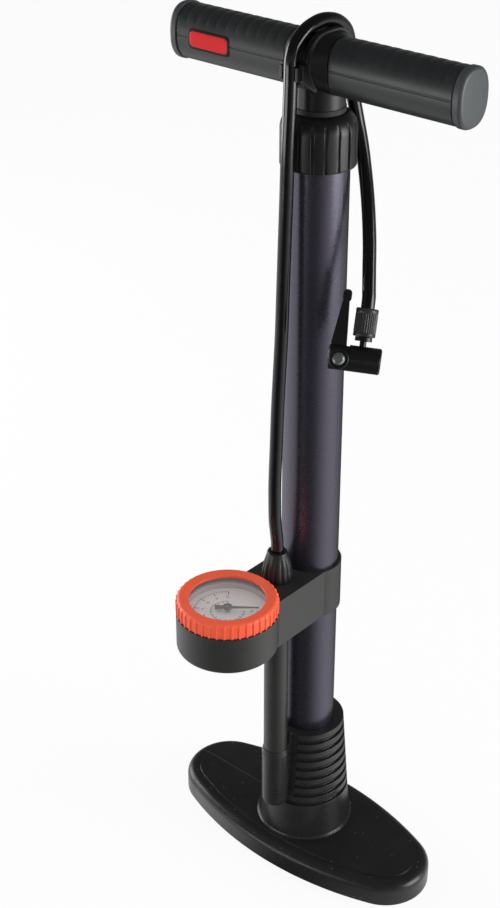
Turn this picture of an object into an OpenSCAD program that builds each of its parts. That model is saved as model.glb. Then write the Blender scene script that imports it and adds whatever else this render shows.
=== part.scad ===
// Floor pump: an oval foot, a ribbed barrel base, an air tube, a gauge on a bracket, a T handle
// and a parked hose with a lever head. Millimetres. Z is up, the barrel stands on the Z axis,
// the handle and the foot run along X, and the gauge is on the -Y side.

/* [Fits] */
// Clearance round pieces that are seated in one another
seat_gap = 0.1; // [0.05:0.05:0.2]
// Running clearance of the rod, the piston and the pivots
run_gap = 0.08; // [0.04:0.01:0.1]
// Gap between pieces that move past each other
free_gap = 0.4; // [0.3:0.1:0.8]

/* [Foot] */
// Length of the foot
foot_length = 210; // [195:1:250]
// Width of the foot
foot_width = 91; // [90:1:110]
// Radius of the round ends of the foot's outline
foot_end_r = 32; // [28:1:36]
// Height of the straight side wall
foot_wall_h = 11; // [10:0.5:16]
// Radius of the rounded upper edge
foot_edge_r = 6; // [4:0.5:7]
// Width of the flat lip between the rounded edge and the tread
tread_lip = 3.5; // [2:0.5:4]
// Height of the step up to the tread
tread_step = 0.8; // [0.4:0.1:1.2]
// Thickness of the moulded shell of the foot
foot_shell = 3.6; // [3:0.2:4.4]
// Thickness of the stiffening ribs under the foot
foot_rib = 2.4; // [1.6:0.2:4]
// Spacing of the stiffening ribs
foot_rib_pitch = 22; // [16:1:32]
// Thickness of the pad under the barrel base
pad_h = 8; // [7:0.5:9]
// Diameter of the screws that hold the barrel base
foot_screw_d = 4; // [3:0.5:5]
// Length of the foot screws
foot_screw_l = 16; // [14:1:30]

/* [Barrel base] */
// Radius of the boss where it meets the foot
boss_r = 33; // [32.5:0.5:35]
// Radius of the boss at its top
boss_top_r = 30.6; // [29.8:0.2:31.6]
// Height of the top of the boss above the floor
boss_top_z = 46; // [43:1:47]
// Reach and height of the flare at the foot of the boss
boss_flare = 1.5; // [1:0.1:2.4]
// Radius of the ribbed collar at its top
collar_top_r = 26.3; // [25.5:0.1:28]
// Height of the top of the collar above the floor
collar_top_z = 106; // [100:1:115]
// Number of ribs round the collar
rib_count = 8; // [5:1:9]
// Height of each rib
rib_h = 4.2; // [3:0.2:5]
// Depth of the grooves between the ribs
rib_depth = 2.2; // [1:0.2:3]
// Wall of the boss
boss_wall = 4; // [3:0.5:5]
// Thickness of the floor that the barrel stands on
base_floor = 8; // [7:0.5:10]
// Height of the top of that floor above the ground
base_floor_z = 58; // [56:0.5:60]
// Width of the plain web that carries the air tube's sleeve
web_w = 13; // [9:0.5:15]
// Width of the gap in the ribs behind the air tube
rib_gap_w = 24; // [20:0.5:28]
// Diameter of the air passage in the base and the bracket
port_d = 5; // [3:0.5:5.5]

/* [Barrel] */
// Outer diameter of the barrel
barrel_d = 38; // [36:0.5:40]
// Wall of the barrel
barrel_wall = 1.2; // [1:0.1:2]
// Length of the barrel
barrel_length = 474.5; // [440:0.5:520]
// Thickness of the gasket under the barrel
gasket_t = 1.5; // [1:0.1:2.5]

/* [Air tube] */
// Distance of the air tube's axis from the barrel's axis
tube_y = 33.6; // [33:0.1:36]
// Outer diameter of the air tube
tube_d = 16.3; // [15:0.1:17]
// Bore of the air tube
tube_bore = 7; // [4:0.5:8]
// Diameter of the spigots at the ends of the air tube
spigot_d = 12.4; // [11.4:0.2:13]
// Room for the valve and its spring between the valve seat and the lower spigot
valve_room = 11; // [10:0.5:13]
// Length of the upper spigot
spigot_top_l = 13; // [11:1:15]
// Diameter of the sleeve that holds the lower spigot
sleeve_d = 18.8; // [18:0.2:20]
// Height of the top of the sleeve above the floor
sleeve_top_z = 97; // [90:1:99]
// How far the sleeve reaches below the air passage
sleeve_drop = 6.5; // [5.5:0.5:9]
// Radius of the sleeve's rounded lower edge
sleeve_edge_r = 5.5; // [3:0.5:7]
// Height of the sleeve's tapered upper edge
sleeve_taper = 4; // [2:0.5:6]
// Thickness of the sealing rings on the spigots
seal_t = 1.8; // [1.2:0.1:2]

/* [Check valve] */
// Height of the valve seat above the middle of the air passage
seat_rise = 6; // [5:0.5:8]
// Thickness of the valve disc
valve_t = 2.4; // [1.5:0.1:3]
// Wire diameter of the valve spring
spring_wire = 0.7; // [0.5:0.05:0.9]
// Number of curls of the valve spring
spring_curls = 4; // [3:1:5]

/* [Bracket] */
// Height of the underside of the bracket above the floor
bracket_z = 203; // [180:1:230]
// Height of the bracket
bracket_h = 35; // [32:0.5:42]
// Wall of the band round the barrel
band_wall = 2.2; // [1.8:0.1:3.5]
// Width of the arm between the barrel and the gauge
arm_w = 39; // [36:0.5:40]
// Distance of the gauge's axis from the barrel's axis
gauge_y = 82; // [80:0.5:90]
// Outer radius of the gauge cup
cup_r = 32.8; // [31.8:0.1:34]
// Depth of the gauge cup below the top of the arm
cup_depth = 27.2; // [25:0.1:30]
// Wall of the gauge cup's floor
cup_floor = 3; // [2:0.5:4]
// Radius of the rounded lower edge of the cup
cup_edge_r = 3.5; // [1:0.5:4]

/* [Gauge] */
// Outer radius of the bezel over its ridges
bezel_r = 32.9; // [32.8:0.1:35]
// Height of the bezel
bezel_h = 10.6; // [10.2:0.1:12]
// Radius of the bezel's opening
bezel_open_r = 24.4; // [22:0.2:25]
// Number of grip ridges round the bezel
bezel_ridges = 42; // [24:1:48]
// Width of each grip ridge
ridge_w = 1.4; // [1:0.1:2.2]
// Radius of the rounded top edge of the bezel
bezel_edge_r = 2; // [1:0.25:2.5]
// Thickness of the lens
lens_t = 1.8; // [1.2:0.1:2]
// Thickness of the dial
dial_t = 0.8; // [0.5:0.1:1.2]
// Height of the spacer between the dial and the lens
spacer_h = 7.4; // [5:0.1:8]
// Length of the needle from its pivot to its tip
needle_l = 20; // [16:0.5:22]
// Length of the needle's tail
needle_tail = 8; // [5:0.5:10]
// Direction of the needle at rest, from +X towards +Y
needle_heading = 40; // [0:1:90]
// Radius of the Bourdon tube at its middle
bourdon_r = 22; // [21:0.25:23]
// Height of the Bourdon tube's flattened section
bourdon_h = 8; // [5:0.5:9]
// Thickness of the Bourdon tube's flattened section
bourdon_t = 2.4; // [1.6:0.1:3]
// Size of the gear teeth: pitch diameter over number of teeth
gear_module = 0.5; // [0.45:0.01:0.55]
// Thickness of the sector gear
sector_t = 2; // [1:0.25:3]

/* [Hose gland] */
// Radius of the gland at its foot
gland_r = 10.2; // [9.4:0.1:11]
// Radius of the gland at its top
gland_top_r = 6.5; // [6:0.1:7]
// Height of the gland
gland_h = 21; // [18:1:28]
// Number of flutes round the gland
gland_flutes = 12; // [8:1:14]

/* [Cap] */
// Radius of the cap
cap_r = 22.8; // [22.2:0.1:23.2]
// Height of the cap
cap_h = 31.5; // [26:0.5:36]
// Radius of the flat top of the cap
cap_top_r = 17.2; // [16.4:0.2:19]
// Height of the rounded shoulder
cap_shoulder = 10; // [6:0.5:12]
// Number of grip grooves
cap_grooves = 18; // [12:1:24]
// Width of each grip groove
cap_groove_w = 1.6; // [1:0.1:2.4]
// Depth of each grip groove
cap_groove_d = 1; // [0.5:0.1:1.4]
// Thickness of the cap's roof
cap_roof = 7; // [6.5:0.5:8]

/* [Plunger] */
// Diameter of the plunger rod
rod_d = 12; // [10:0.5:13]
// Length of the bush that guides the rod
guide_l = 22; // [16:1:30]
// Thickness of the bush's flange
guide_flange = 3; // [2:0.5:4]
// Diameter of the threaded end of the rod
stud_d = 8; // [6:0.5:9]
// Length of the piston
piston_l = 14; // [10:1:20]
// Depth of the piston's cup seal
piston_cup_h = 12; // [11.5:0.5:16]
// Thickness of the cup seal's base and lip
piston_cup_t = 3; // [2:0.25:3.5]
// Thickness of the washer under the cup seal
washer_t = 2; // [1:0.25:3]
// Height of the piston nut
piston_nut_h = 6; // [5:0.5:6]
// Gap left under the piston at the bottom of its stroke
piston_rest = 3; // [2:0.5:8]

/* [Handle] */
// Length of the handle over its end caps
handle_length = 212; // [190:1:230]
// Depth of the grips from front to back
grip_depth = 26.4; // [25.8:0.2:28]
// Height of the grips
grip_height = 33; // [31:0.5:35]
// Radius of the grips' rounded corners
grip_corner_r = 12.8; // [10:0.2:12.8]
// Length of the end caps
end_cap_l = 6; // [5:0.2:9]
// Radius of the rounded outer edge of the end caps
end_cap_edge = 2.5; // [1.5:0.25:3.5]
// How far the end caps stand proud of the grips
end_cap_proud = 0.6; // [0:0.1:1]
// Number of finger ridges on each grip
grip_ridges = 10; // [6:1:11]
// Height of the finger ridges
ridge_h = 0.7; // [0.4:0.1:1]
// Height of the handle's axis above the underside of its neck
handle_rise = 25; // [24:0.25:28]
// Radius of the neck under the handle
neck_r = 15.4; // [14:0.2:16]
// Half the length of the hub between the grips
hub_half = 15.4; // [14:0.2:20]
// Radius of the hub's saddle under the hose
saddle_r = 18; // [17:0.1:18]
// Half the depth of the saddle from front to back
saddle_y = 20.4; // [20:0.1:20.6]
// Half the width of the hub over its two cheeks
cheek_x = 8; // [7:0.25:10]
// How far the cheeks stand above the saddle
cheek_rise = 1.2; // [0.6:0.1:2]
// Reach of the cheeks to the front and the back
cheek_y = 25; // [24:0.25:26]
// Diameter of the crossbar inside the grips
crossbar_d = 14; // [12:0.5:15]
// Wall of the crossbar
crossbar_wall = 1.5; // [1:0.25:2.5]
// Diameter of the pin that holds the rod in the hub
handle_pin_d = 4; // [3:0.5:5]
// Thickness of the bumper under the neck
bumper_t = 3; // [2:0.5:5]

/* [Hose and head] */
// Outer diameter of the hose
hose_d = 8.2; // [7.4:0.1:8.4]
// Diameter of the head's body
head_d = 15.6; // [15.4:0.1:17]
// Height of the head's bore above the lever's pin
bore_rise = 1.2; // [0.8:0.1:1.6]
// Distance from the lever's pin to the mouth of the head
head_mouth = 24.9; // [24.5:0.1:30]
// Distance from the lever's pin to the back of the head
head_back = 6.6; // [6.2:0.2:9]
// Distance from the lever's pin to the hose's nut
nut_x = 13.1; // [12:0.1:13.4]
// Diameter of the knurled nut
nut_d = 13.4; // [12.6:0.1:15]
// Length of the knurled nut
nut_l = 16.8; // [14:0.2:24]
// Height of the nut's lower face above the lever's pin
nut_z = 14.7; // [13.5:0.1:16]
// Number of grooves round the nut
nut_grooves = 24; // [12:1:28]
// Length of the lever from its pin
lever_l = 41.2; // [36:0.2:50]
// Thickness of the lever along its pin
lever_t = 6.4; // [5:0.2:7]
// Radius of the lever's cam
cam_r = 4.2; // [3.8:0.1:4.3]
// Offset of the cam's middle from the pin, along and across the head
cam_throw = 0.8; // [0.6:0.05:0.9]
// Diameter of the lever's pin
lever_pin_d = 4; // [3:0.2:4.2]
// Diameter of the pin's round heads
rivet_d = 7.8; // [6:0.2:9]
// Diameter of the valve hole in the head's rubber
valve_hole_d = 8; // [7.6:0.1:8.4]
// Length of the head's rubber
rubber_l = 8.5; // [6:0.25:9]

/* [Hidden] */
$fn = 96;
fine_fn = 720;
tiny = 0.01;
over = 1;

// Foot: a four-centre oval, two end arcs and two side arcs that meet at a tangent
end_x = foot_length / 2 - foot_end_r;
half_w = foot_width / 2;
side_r = (end_x * end_x + half_w * half_w - foot_end_r * foot_end_r) / (2 * (half_w - foot_end_r));
side_c = side_r - half_w;
side_a = atan(end_x / side_c);
tread_margin = 6;
step_w = foot_edge_r + tread_lip;
edge_w = step_w + tread_margin;
edge_z = foot_wall_h + foot_edge_r;
tread_z = edge_z + tread_step;
pad_r = boss_r + boss_wall;
screw_head_r = foot_screw_d;
screw_head_h = foot_screw_d * 0.6;
screw_ring_r = boss_r - boss_wall - foot_screw_d * 1.5;
pillar_r = foot_screw_d * 1.4;

// Barrel base and barrel
barrel_r = barrel_d / 2;
bore_r = barrel_r - barrel_wall;
boss_foot_r = boss_r - seat_gap;
boss_foot_z = tread_z + boss_flare;
barrel_z = base_floor_z + gasket_t;
barrel_top = barrel_z + barrel_length;
rib_pitch = (collar_top_z - boss_top_z) / rib_count;
port_r = port_d / 2;
port_z = base_floor_z - base_floor / 2;
sleeve_r = sleeve_d / 2;
sleeve_low = port_z - sleeve_drop;
spigot_r = spigot_d / 2;
seat_z = port_z + seat_rise;
spigot_z = seat_z + valve_room;
valve_r = spigot_r - free_gap;
spring_r = valve_r - spring_wire;
spring_z = seat_z + valve_t;

// Bracket and gauge, from the top of the arm
arm_top = bracket_z + bracket_h;
cup_z = arm_top - cup_depth;
cup_in = cup_z + cup_floor;
bezel_sink = 0.3;
bezel_z = arm_top - bezel_sink;
bezel_top = bezel_z + bezel_h;
bezel_wall = 1.6;
bezel_lip = 2.2;
ridge_out = 0.8;
skirt_r = bezel_r - ridge_out;
rim_r = skirt_r - bezel_wall;
rim_wall = 1.4;
dish_r = rim_r - rim_wall;
ledge_w = 2;
ledge_r = dish_r - ledge_w;
lens_z = bezel_top - bezel_lip - seat_gap - lens_t;
spacer_z = lens_z - spacer_h;
dial_z = spacer_z - dial_t;
rim_z = lens_z + lens_t / 2;
needle_rise = 2.6;
needle_z = spacer_z + needle_rise;
needle_t = 0.8;
needle_hub_h = 1.4;

// Gauge movement: a pinion on the gauge's axis and a sector gear beside it
pinion_teeth = 8;
wheel_teeth = 48;
pinion_r = gear_module * pinion_teeth / 2;
sector_r = gear_module * wheel_teeth / 2;
gear_gap = pinion_r + sector_r;
sector_dir = 200;
sector_rest = -22.5;
plate_t = 1.6;
plate_r = 18.5;
plate_z = cup_in;
bridge_drop = 4;
bridge_z = dial_z - bridge_drop;
bridge_t = 1.5;
bridge_w = 6;
bridge_end_r = bridge_w / 2 - 0.1;
gear_rise = 7;
gear_z = cup_in + gear_rise;
arbor_r = 0.9;
pivot_r = 1.2;
pillar_at = 13;
movement_post_r = 2;
end_play = 0.3;
bourdon_rise = 3;
bourdon_z = cup_in + bourdon_rise;
bourdon_a = 250;

// Cap, plunger and handle
cap_top = barrel_top + guide_flange + cap_roof;
cap_z = cap_top - cap_h;
rod_r = rod_d / 2;
stud_r = stud_d / 2;
stud_z = barrel_z - gasket_t + piston_rest;
piston_nut_z = stud_z + over;
washer_z = piston_nut_z + piston_nut_h;
cup_seal_z = washer_z + washer_t;
piston_z = cup_seal_z + piston_cup_t;
piston_top = piston_z + piston_l;
rod_z = piston_z + piston_l / 2;
bumper_z = cap_top + free_gap;
neck_z = bumper_z + bumper_t;
handle_z = neck_z + handle_rise;
crossbar_r = crossbar_d / 2;
rod_clear = 2;
rod_top = handle_z - crossbar_r - rod_clear;
grip_start = hub_half + seat_gap;
grip_end = handle_length / 2 - end_cap_l;
handle_pin_rise = 6;
handle_pin_z = neck_z + handle_pin_rise;
handle_pin_in = rod_r + 3;
saddle_corner = 15.4;
hose_r = hose_d / 2;
channel_x = hose_r + free_gap;
channel_y = cheek_y - hose_r - seat_gap;
cheek_top = 4;
cheek_low = 6;
cheek_drop = 13.5;
channel_drop = 12;
finger_reach = 3;
finger_y = cheek_y + finger_reach;

// Head: placed by the lever's pin, which is the origin of its own frame
head_pin_at = [40.4, -27.2, 408.1];
head_yaw = 38;
head_lean = 26;
head_tilt = 6.2;
head_r = head_d / 2;
boss_proud = 0.6;
cheek_t = head_r + boss_proud;
slot_w = lever_t + 2 * free_gap;
cam_sweep = cam_r + cam_throw * sqrt(2);
pusher_x = cam_r + cam_throw + free_gap;
mouth_lip = 1.5;
rubber_x = head_mouth - mouth_lip - rubber_l;
rubber_wall = 1.5;
rubber_r = valve_hole_d / 2 + rubber_wall;
pusher_step = 0.8;
pusher_r = rubber_r - pusher_step;
tail_r = 2;
tail_bore_r = 1.2;
tail_flange_t = 2.6;
stub_l = 6;

// Rod wiper, hose nipple and the air passage to the gauge
wiper_r = rod_r + 3;
nipple_r = 5;
nipple_z = arm_top - 9;
nipple_flange = 4;
passage_z = bracket_z + spigot_top_l + 3;

// Seal grooves in the lower and the upper spigot, and the slot in the sector's tail
seal_low_z = spigot_z + 4;
seal_high_z = bracket_z + 5;
sector_hub_r = 2.6;
tail_reach = 3.6;
tail_end = 1.6;
tail_w = 4;
tail_slot_w = 2;
drive_pin_r = 0.6;

// Points along the middle of the hose. It climbs from the gland, given as shares of the climb, goes
// over the handle, given from the handle's axis, and hangs down to the head
hose_from = arm_top + 14;
hose_climb = handle_z - 72.4 - hose_from;
hose_route = [
  for (p = [
    [-33.6, 0], [-33.6, 0.05], [-34.5, 0.08], [-36, 0.125], [-36.5, 0.18], [-36.5, 0.245], [-35.5, 0.345],
    [-34.5, 0.45], [-33, 0.55], [-31.5, 0.65], [-30.5, 0.77], [-29.5, 0.885], [-28.5, 1]])
    [0, p[0], hose_from + p[1] * hose_climb],
  for (p = [
    [-27.8, -46.4], [-26.6, -22.4], [-26, -6.4], [-25.6, 5.6], [-23.2, 12.6], [-19, 17], [-13.5, 20.3],
    [-7, 22.2], [0, 23], [7, 22.2], [13.5, 20.3], [19, 17], [23.2, 12.6], [25.6, 5.6]])
    [0, p[0], handle_z + p[1]],
  [0.2, 26.2, 566], [3, 27, 549], [7, 27, 534], [12, 25.6, 520], [17, 22.8, 507], [22.5, 18.7, 494.5],
  [28, 13.8, 482], [33.5, 8.2, 468.5], [38.5, 2.2, 455.5], [42.5, -2.6, 445], [44.4, -5, 439.5],
  [47.2, -11.2, 425.6]];
hose_sides = 10;

// Moves what is drawn at the gauge's axis to its place
module at_gauge() {
  translate([0, -gauge_y, 0]) children();
}

// Moves what is drawn at the air tube's axis to its place
module at_tube() {
  translate([0, -tube_y, 0]) children();
}

// Moves what is drawn round the lever's pin, mouth along +X, to the parked head
module at_head() {
  translate(head_pin_at) rotate(head_yaw) rotate([-head_lean, 0, 0]) rotate([0, head_tilt, 0]) children();
}

// The same, round the axis of the head's bore
module at_bore() {
  at_head() translate([0, 0, bore_rise]) children();
}

// A cylinder along X or Y that starts at the origin
module along_x(r, l) {
  rotate([0, 90, 0]) cylinder(r = r, h = l);
}
module along_y(r, l) {
  rotate([-90, 0, 0]) cylinder(r = r, h = l);
}

// A ring with a round hole, standing on z = 0
module pipe(r_out, r_in, h) {
  difference() {
    cylinder(r = r_out, h = h);
    translate([0, 0, -over]) cylinder(r = r_in, h = h + 2 * over);
  }
}

// A rectangle with round corners, about the origin
module round_rect(w, h, r) {
  square([w - 2 * r, h], center = true);
  square([w, h - 2 * r], center = true);
  for (x = [-1, 1], y = [-1, 1])
    translate([x * (w / 2 - r), y * (h / 2 - r)]) circle(r);
}

// The foot's outline, drawn in by an equal distance all round
module oval(inset) {
  tangent_x = (side_r - inset) * sin(side_a);
  intersection() {
    translate([0, -side_c]) circle(side_r - inset, $fn = fine_fn);
    translate([0, side_c]) circle(side_r - inset, $fn = fine_fn);
    square([2 * tangent_x, foot_width], center = true);
  }
  for (s = [-1, 1])
    translate([s * end_x, 0]) circle(foot_end_r - inset);
}

// Carries a profile round the foot's outline, with x = 0 on the outline
module round_oval() {
  for (turn = [0, 180])
    rotate(turn) {
      translate([end_x, 0, 0]) rotate(side_a - 90)
        rotate_extrude(angle = 180 - 2 * side_a) translate([foot_end_r, 0]) children();
      translate([0, -side_c, 0]) rotate(90 - side_a)
        rotate_extrude(angle = 2 * side_a, $fn = fine_fn) translate([side_r, 0]) children();
    }
}

// Section through the rim of the foot: wall, rounded edge and the lip round the tread
module rim_profile() {
  translate([-edge_w, 0]) square([edge_w, foot_wall_h]);
  translate([-edge_w, foot_wall_h - over]) square([edge_w - foot_edge_r, foot_edge_r + over]);
  translate([-foot_edge_r, foot_wall_h]) circle(foot_edge_r);
}

module at_foot_screws() {
  for (a = [45 : 90 : 315])
    rotate(a) translate([screw_ring_r, 0, 0]) children();
}

// The hollow under the foot, left whole round the pad and along the ribs
module foot_hollow() {
  ribs = floor((foot_length / 2 - edge_w) / foot_rib_pitch);
  difference() {
    translate([0, 0, -over]) linear_extrude(tread_z - foot_shell + over) oval(foot_shell);
    translate([0, 0, -2 * over]) cylinder(r = pad_r, h = tread_z);
    for (i = [-ribs : ribs])
      translate([i * foot_rib_pitch - foot_rib / 2, -foot_width, -2 * over])
        cube([foot_rib, 2 * foot_width, tread_z]);
    translate([-foot_length, -foot_rib / 2, -2 * over]) cube([2 * foot_length, foot_rib, tread_z]);
  }
}

module foot_plate() {
  color("#2b2b2c")
    difference() {
      union() {
        round_oval() rim_profile();
        linear_extrude(tread_z) oval(step_w);
      }
      foot_hollow();
      translate([0, 0, pad_h]) cylinder(r = boss_r, h = tread_z);
      at_foot_screws() {
        translate([0, 0, -over]) cylinder(d = foot_screw_d + 2 * seat_gap, h = pad_h + 2 * over);
        translate([0, 0, -over]) cylinder(r = screw_head_r + free_gap, h = screw_head_h + over + seat_gap);
      }
    }
}

module foot_screws() {
  color("#8d8f92")
    at_foot_screws() {
      translate([0, 0, seat_gap]) difference() {
        cylinder(r = screw_head_r, h = screw_head_h);
        translate([0, 0, -over]) cylinder(d = foot_screw_d, h = over + screw_head_h / 2, $fn = 6);
      }
      translate([0, 0, screw_head_h]) cylinder(d = foot_screw_d, h = foot_screw_l - screw_head_h);
    }
}

// Radius of the ribbed collar at a height
function collar_r(z) =
  boss_top_r + (collar_top_r - boss_top_r) * (z - boss_top_z) / (collar_top_z - boss_top_z);

// Outer form of the base: foot ring, flare, smooth boss and the cone that the ribs stand on
module base_form() {
  rotate_extrude()
    polygon([
      [0, pad_h], [boss_foot_r, pad_h], [boss_foot_r, tread_z + seat_gap],
      [boss_r + boss_flare, tread_z + seat_gap], [boss_r + boss_flare * 0.3, tread_z + boss_flare * 0.4],
      [boss_r, boss_foot_z], [boss_top_r, boss_top_z], [collar_top_r, collar_top_z], [0, collar_top_z]]);
}

// The gap that breaks the ribs behind the air tube, a little deeper than the grooves
module rib_gap() {
  deep = rib_depth + 0.3;
  low = boss_top_z;
  high = collar_top_z + over;
  difference() {
    translate([-rib_gap_w / 2, -boss_r, low]) cube([rib_gap_w, boss_r, high - low]);
    translate([0, 0, low - over])
      cylinder(r1 = collar_r(low - over) - deep, r2 = collar_r(high + over) - deep,
               h = high - low + 2 * over);
  }
}

// Grooves between the ribs, broken at the plain web
module base_grooves() {
  difference() {
    union() {
      for (k = [1 : rib_count]) {
        top = collar_top_z - (k - 1) * rib_pitch - rib_h;
        low = collar_top_z - k * rib_pitch;
        rotate_extrude()
          polygon([
            [collar_r(low) - rib_depth, low], [collar_r(low) + over, low],
            [collar_r(top) + over, top], [collar_r(top) - rib_depth, top]]);
      }
      rib_gap();
    }
    translate([-web_w / 2, -boss_r, boss_top_z - over]) cube([web_w, boss_r, collar_top_z]);
  }
}

// Half section of the sleeve, with a rounded lower edge and a tapered upper edge
module sleeve_profile() {
  edge_x = sleeve_r - sleeve_edge_r;
  side_z = sleeve_low + sleeve_edge_r;
  lip = 0.4;
  translate([0, sleeve_low]) square([edge_x, sleeve_top_z - sleeve_low]);
  polygon([
    [0, side_z], [sleeve_r, side_z], [sleeve_r, sleeve_top_z - sleeve_taper],
    [tube_d / 2 + lip, sleeve_top_z], [0, sleeve_top_z]]);
  translate([edge_x, side_z]) intersection() {
    circle(sleeve_edge_r);
    translate([-edge_x, -sleeve_edge_r]) square(2 * sleeve_edge_r);
  }
}

module barrel_base() {
  color("#1d1d1e")
    difference() {
      union() {
        difference() {
          base_form();
          base_grooves();
          // hollow underneath
          difference() {
            translate([0, 0, pad_h - over])
              cylinder(r1 = boss_foot_r - boss_wall, r2 = boss_top_r - boss_wall,
                       h = base_floor_z - base_floor - pad_h + over);
            at_foot_screws() cylinder(r = pillar_r, h = base_floor_z);
          }
        }
        // sleeve for the air tube, with a round lower end, and the web that carries it
        at_tube() rotate_extrude() sleeve_profile();
        translate([-web_w / 2, -tube_y, port_z])
          cube([web_w, tube_y - barrel_r - over, sleeve_top_z - port_z]);
      }
      translate([0, 0, base_floor_z]) cylinder(r = barrel_r + seat_gap, h = collar_top_z);
      at_foot_screws() cylinder(d = foot_screw_d + 2 * seat_gap, h = foot_screw_l + over);
      // air passage from the barrel to the valve
      translate([0, 0, port_z]) cylinder(r = port_r, h = base_floor);
      translate([0, -tube_y, port_z]) along_y(port_r, tube_y);
      at_tube() {
        translate([0, 0, port_z]) cylinder(r = port_r, h = seat_rise + over);
        translate([0, 0, seat_z]) cylinder(r = spigot_r + seat_gap, h = collar_top_z);
        translate([0, 0, sleeve_top_z]) cylinder(d = tube_d + 2 * seat_gap, h = collar_top_z);
      }
    }
}

module barrel() {
  color("#45434b")
    translate([0, 0, barrel_z]) pipe(barrel_r, bore_r, barrel_length);
}

module barrel_gasket() {
  gasket_in = 1;
  color("#141414")
    translate([0, 0, base_floor_z]) pipe(barrel_r, bore_r - gasket_in, gasket_t);
}

module check_valve() {
  edge = 0.6;
  pip_r = spring_r - spring_wire - 0.3;
  pip_h = 2;
  color("#3a3a3c")
    at_tube() translate([0, 0, seat_z])
      rotate_extrude()
        polygon([
          [0, 0], [valve_r, 0], [valve_r, valve_t * 0.6], [valve_r - edge, valve_t], [pip_r, valve_t],
          [pip_r - edge / 2, valve_t + pip_h], [0, valve_t + pip_h]]);
}

// A wire along a helix, from the valve disc to the end of the air tube
module check_spring() {
  rings = 8;
  sides = 6;
  wire_r = spring_wire / 2;
  length = spigot_z - spring_z - 2 * wire_r - 2 * seat_gap;
  steps = rings * spring_curls;
  middle = [for (i = [0 : steps])
    let (a = 360 * i / rings, z = wire_r + seat_gap + length * i / steps)
      [spring_r * cos(a), spring_r * sin(a), z]];
  color("#b9bcc0")
    at_tube() translate([0, 0, spring_z])
      sweep(middle, wire_r, sides, [0, 0, 1]);
}

// Vectors for the swept tubes
function unit(v) = v / norm(v);
function across(v, t) = unit(v - (v * t) * t);

// A closed tube of flat sides along a list of points, its sides lined up with one direction
module sweep(path, r, sides, lead) {
  last = len(path) - 1;
  points = [for (i = [0 : last])
    let (t = unit(path[min(i + 1, last)] - path[max(i - 1, 0)]), u = across(lead, t), w = cross(t, u))
      for (k = [0 : sides - 1]) path[i] + r * (cos(360 * k / sides) * u + sin(360 * k / sides) * w)];
  faces = [
    for (k = [1 : sides - 2]) [0, k, k + 1],
    for (k = [1 : sides - 2]) [last * sides, last * sides + k + 1, last * sides + k],
    for (i = [0 : last - 1], k = [0 : sides - 1])
      let (a = i * sides + k, b = i * sides + (k + 1) % sides)
        each [[a, a + sides, b], [b, a + sides, b + sides]]];
  polyhedron(points = points, faces = faces);
}

module seal_groove(z) {
  translate([0, 0, z]) rotate_extrude()
    translate([spigot_r - seal_t, 0]) square([seal_t + over, seal_t * 1.3]);
}

module air_tube() {
  spigots_l = bracket_z + spigot_top_l - spigot_z;
  color("#4a4b4b")
    at_tube() difference() {
      union() {
        translate([0, 0, spigot_z]) cylinder(r = spigot_r, h = spigots_l);
        translate([0, 0, sleeve_top_z]) cylinder(d = tube_d, h = bracket_z - sleeve_top_z);
      }
      translate([0, 0, spigot_z - over]) cylinder(d = tube_bore, h = spigots_l + 2 * over);
      seal_groove(seal_low_z);
      seal_groove(seal_high_z);
    }
}

module air_tube_seals() {
  color("#111111")
    at_tube() for (z = [seal_low_z, seal_high_z])
      translate([0, 0, z + seal_t * 0.65]) rotate_extrude()
        translate([spigot_r - seal_t / 2, 0]) circle(seal_t / 2, $fn = 32);
}

// Cup for the gauge with a rounded lower edge
module cup_form() {
  at_gauge() rotate_extrude() {
    translate([0, cup_z + cup_edge_r]) square([cup_r, cup_depth - cup_edge_r - 0.5]);
    translate([0, cup_z]) square([cup_r - cup_edge_r, cup_depth]);
    translate([cup_r - cup_edge_r, cup_z + cup_edge_r]) circle(cup_edge_r);
    square([rim_r, rim_z]);
  }
}

module gauge_bracket() {
  color("#474848")
    difference() {
      union() {
        translate([0, 0, bracket_z]) cylinder(r = barrel_r + band_wall, h = bracket_h);
        difference() {
          translate([-arm_w / 2, -gauge_y, bracket_z]) cube([arm_w, gauge_y, bracket_h]);
          at_gauge() translate([0, 0, bracket_z - over]) cylinder(r = cup_r, h = bracket_h + 2 * over);
        }
        intersection() {
          cup_form();
          translate([-2 * cup_r, -4 * cup_r, cup_z]) cube(8 * cup_r);
        }
      }
      // room for the bezel over the end of the arm
      at_gauge() translate([0, 0, bezel_z - seat_gap]) difference() {
        cylinder(r = bezel_r + free_gap, h = bracket_h);
        translate([0, 0, -over]) cylinder(r = rim_r, h = bracket_h);
      }
      translate([0, 0, bracket_z - over]) cylinder(r = barrel_r + seat_gap, h = bracket_h + 2 * over);
      // inside of the cup, with the ledge for the dial
      at_gauge() translate([0, 0, cup_in]) cylinder(r = ledge_r, h = bracket_h);
      at_gauge() translate([0, 0, dial_z]) cylinder(r = dish_r, h = bracket_h);
      // sockets for the air tube and the hose's nipple, and the passage to the gauge
      at_tube() {
        translate([0, 0, bracket_z - over])
          cylinder(r = spigot_r + seat_gap, h = spigot_top_l + over + seat_gap);
        translate([0, 0, bracket_z]) cylinder(r = port_r, h = bracket_h + over);
        translate([0, 0, nipple_z]) cylinder(r = nipple_r + seat_gap, h = bracket_h);
      }
      translate([0, -gauge_y + ledge_r - over, passage_z])
        along_y(port_r / 2, gauge_y - ledge_r - tube_y + over);
    }
}

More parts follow.
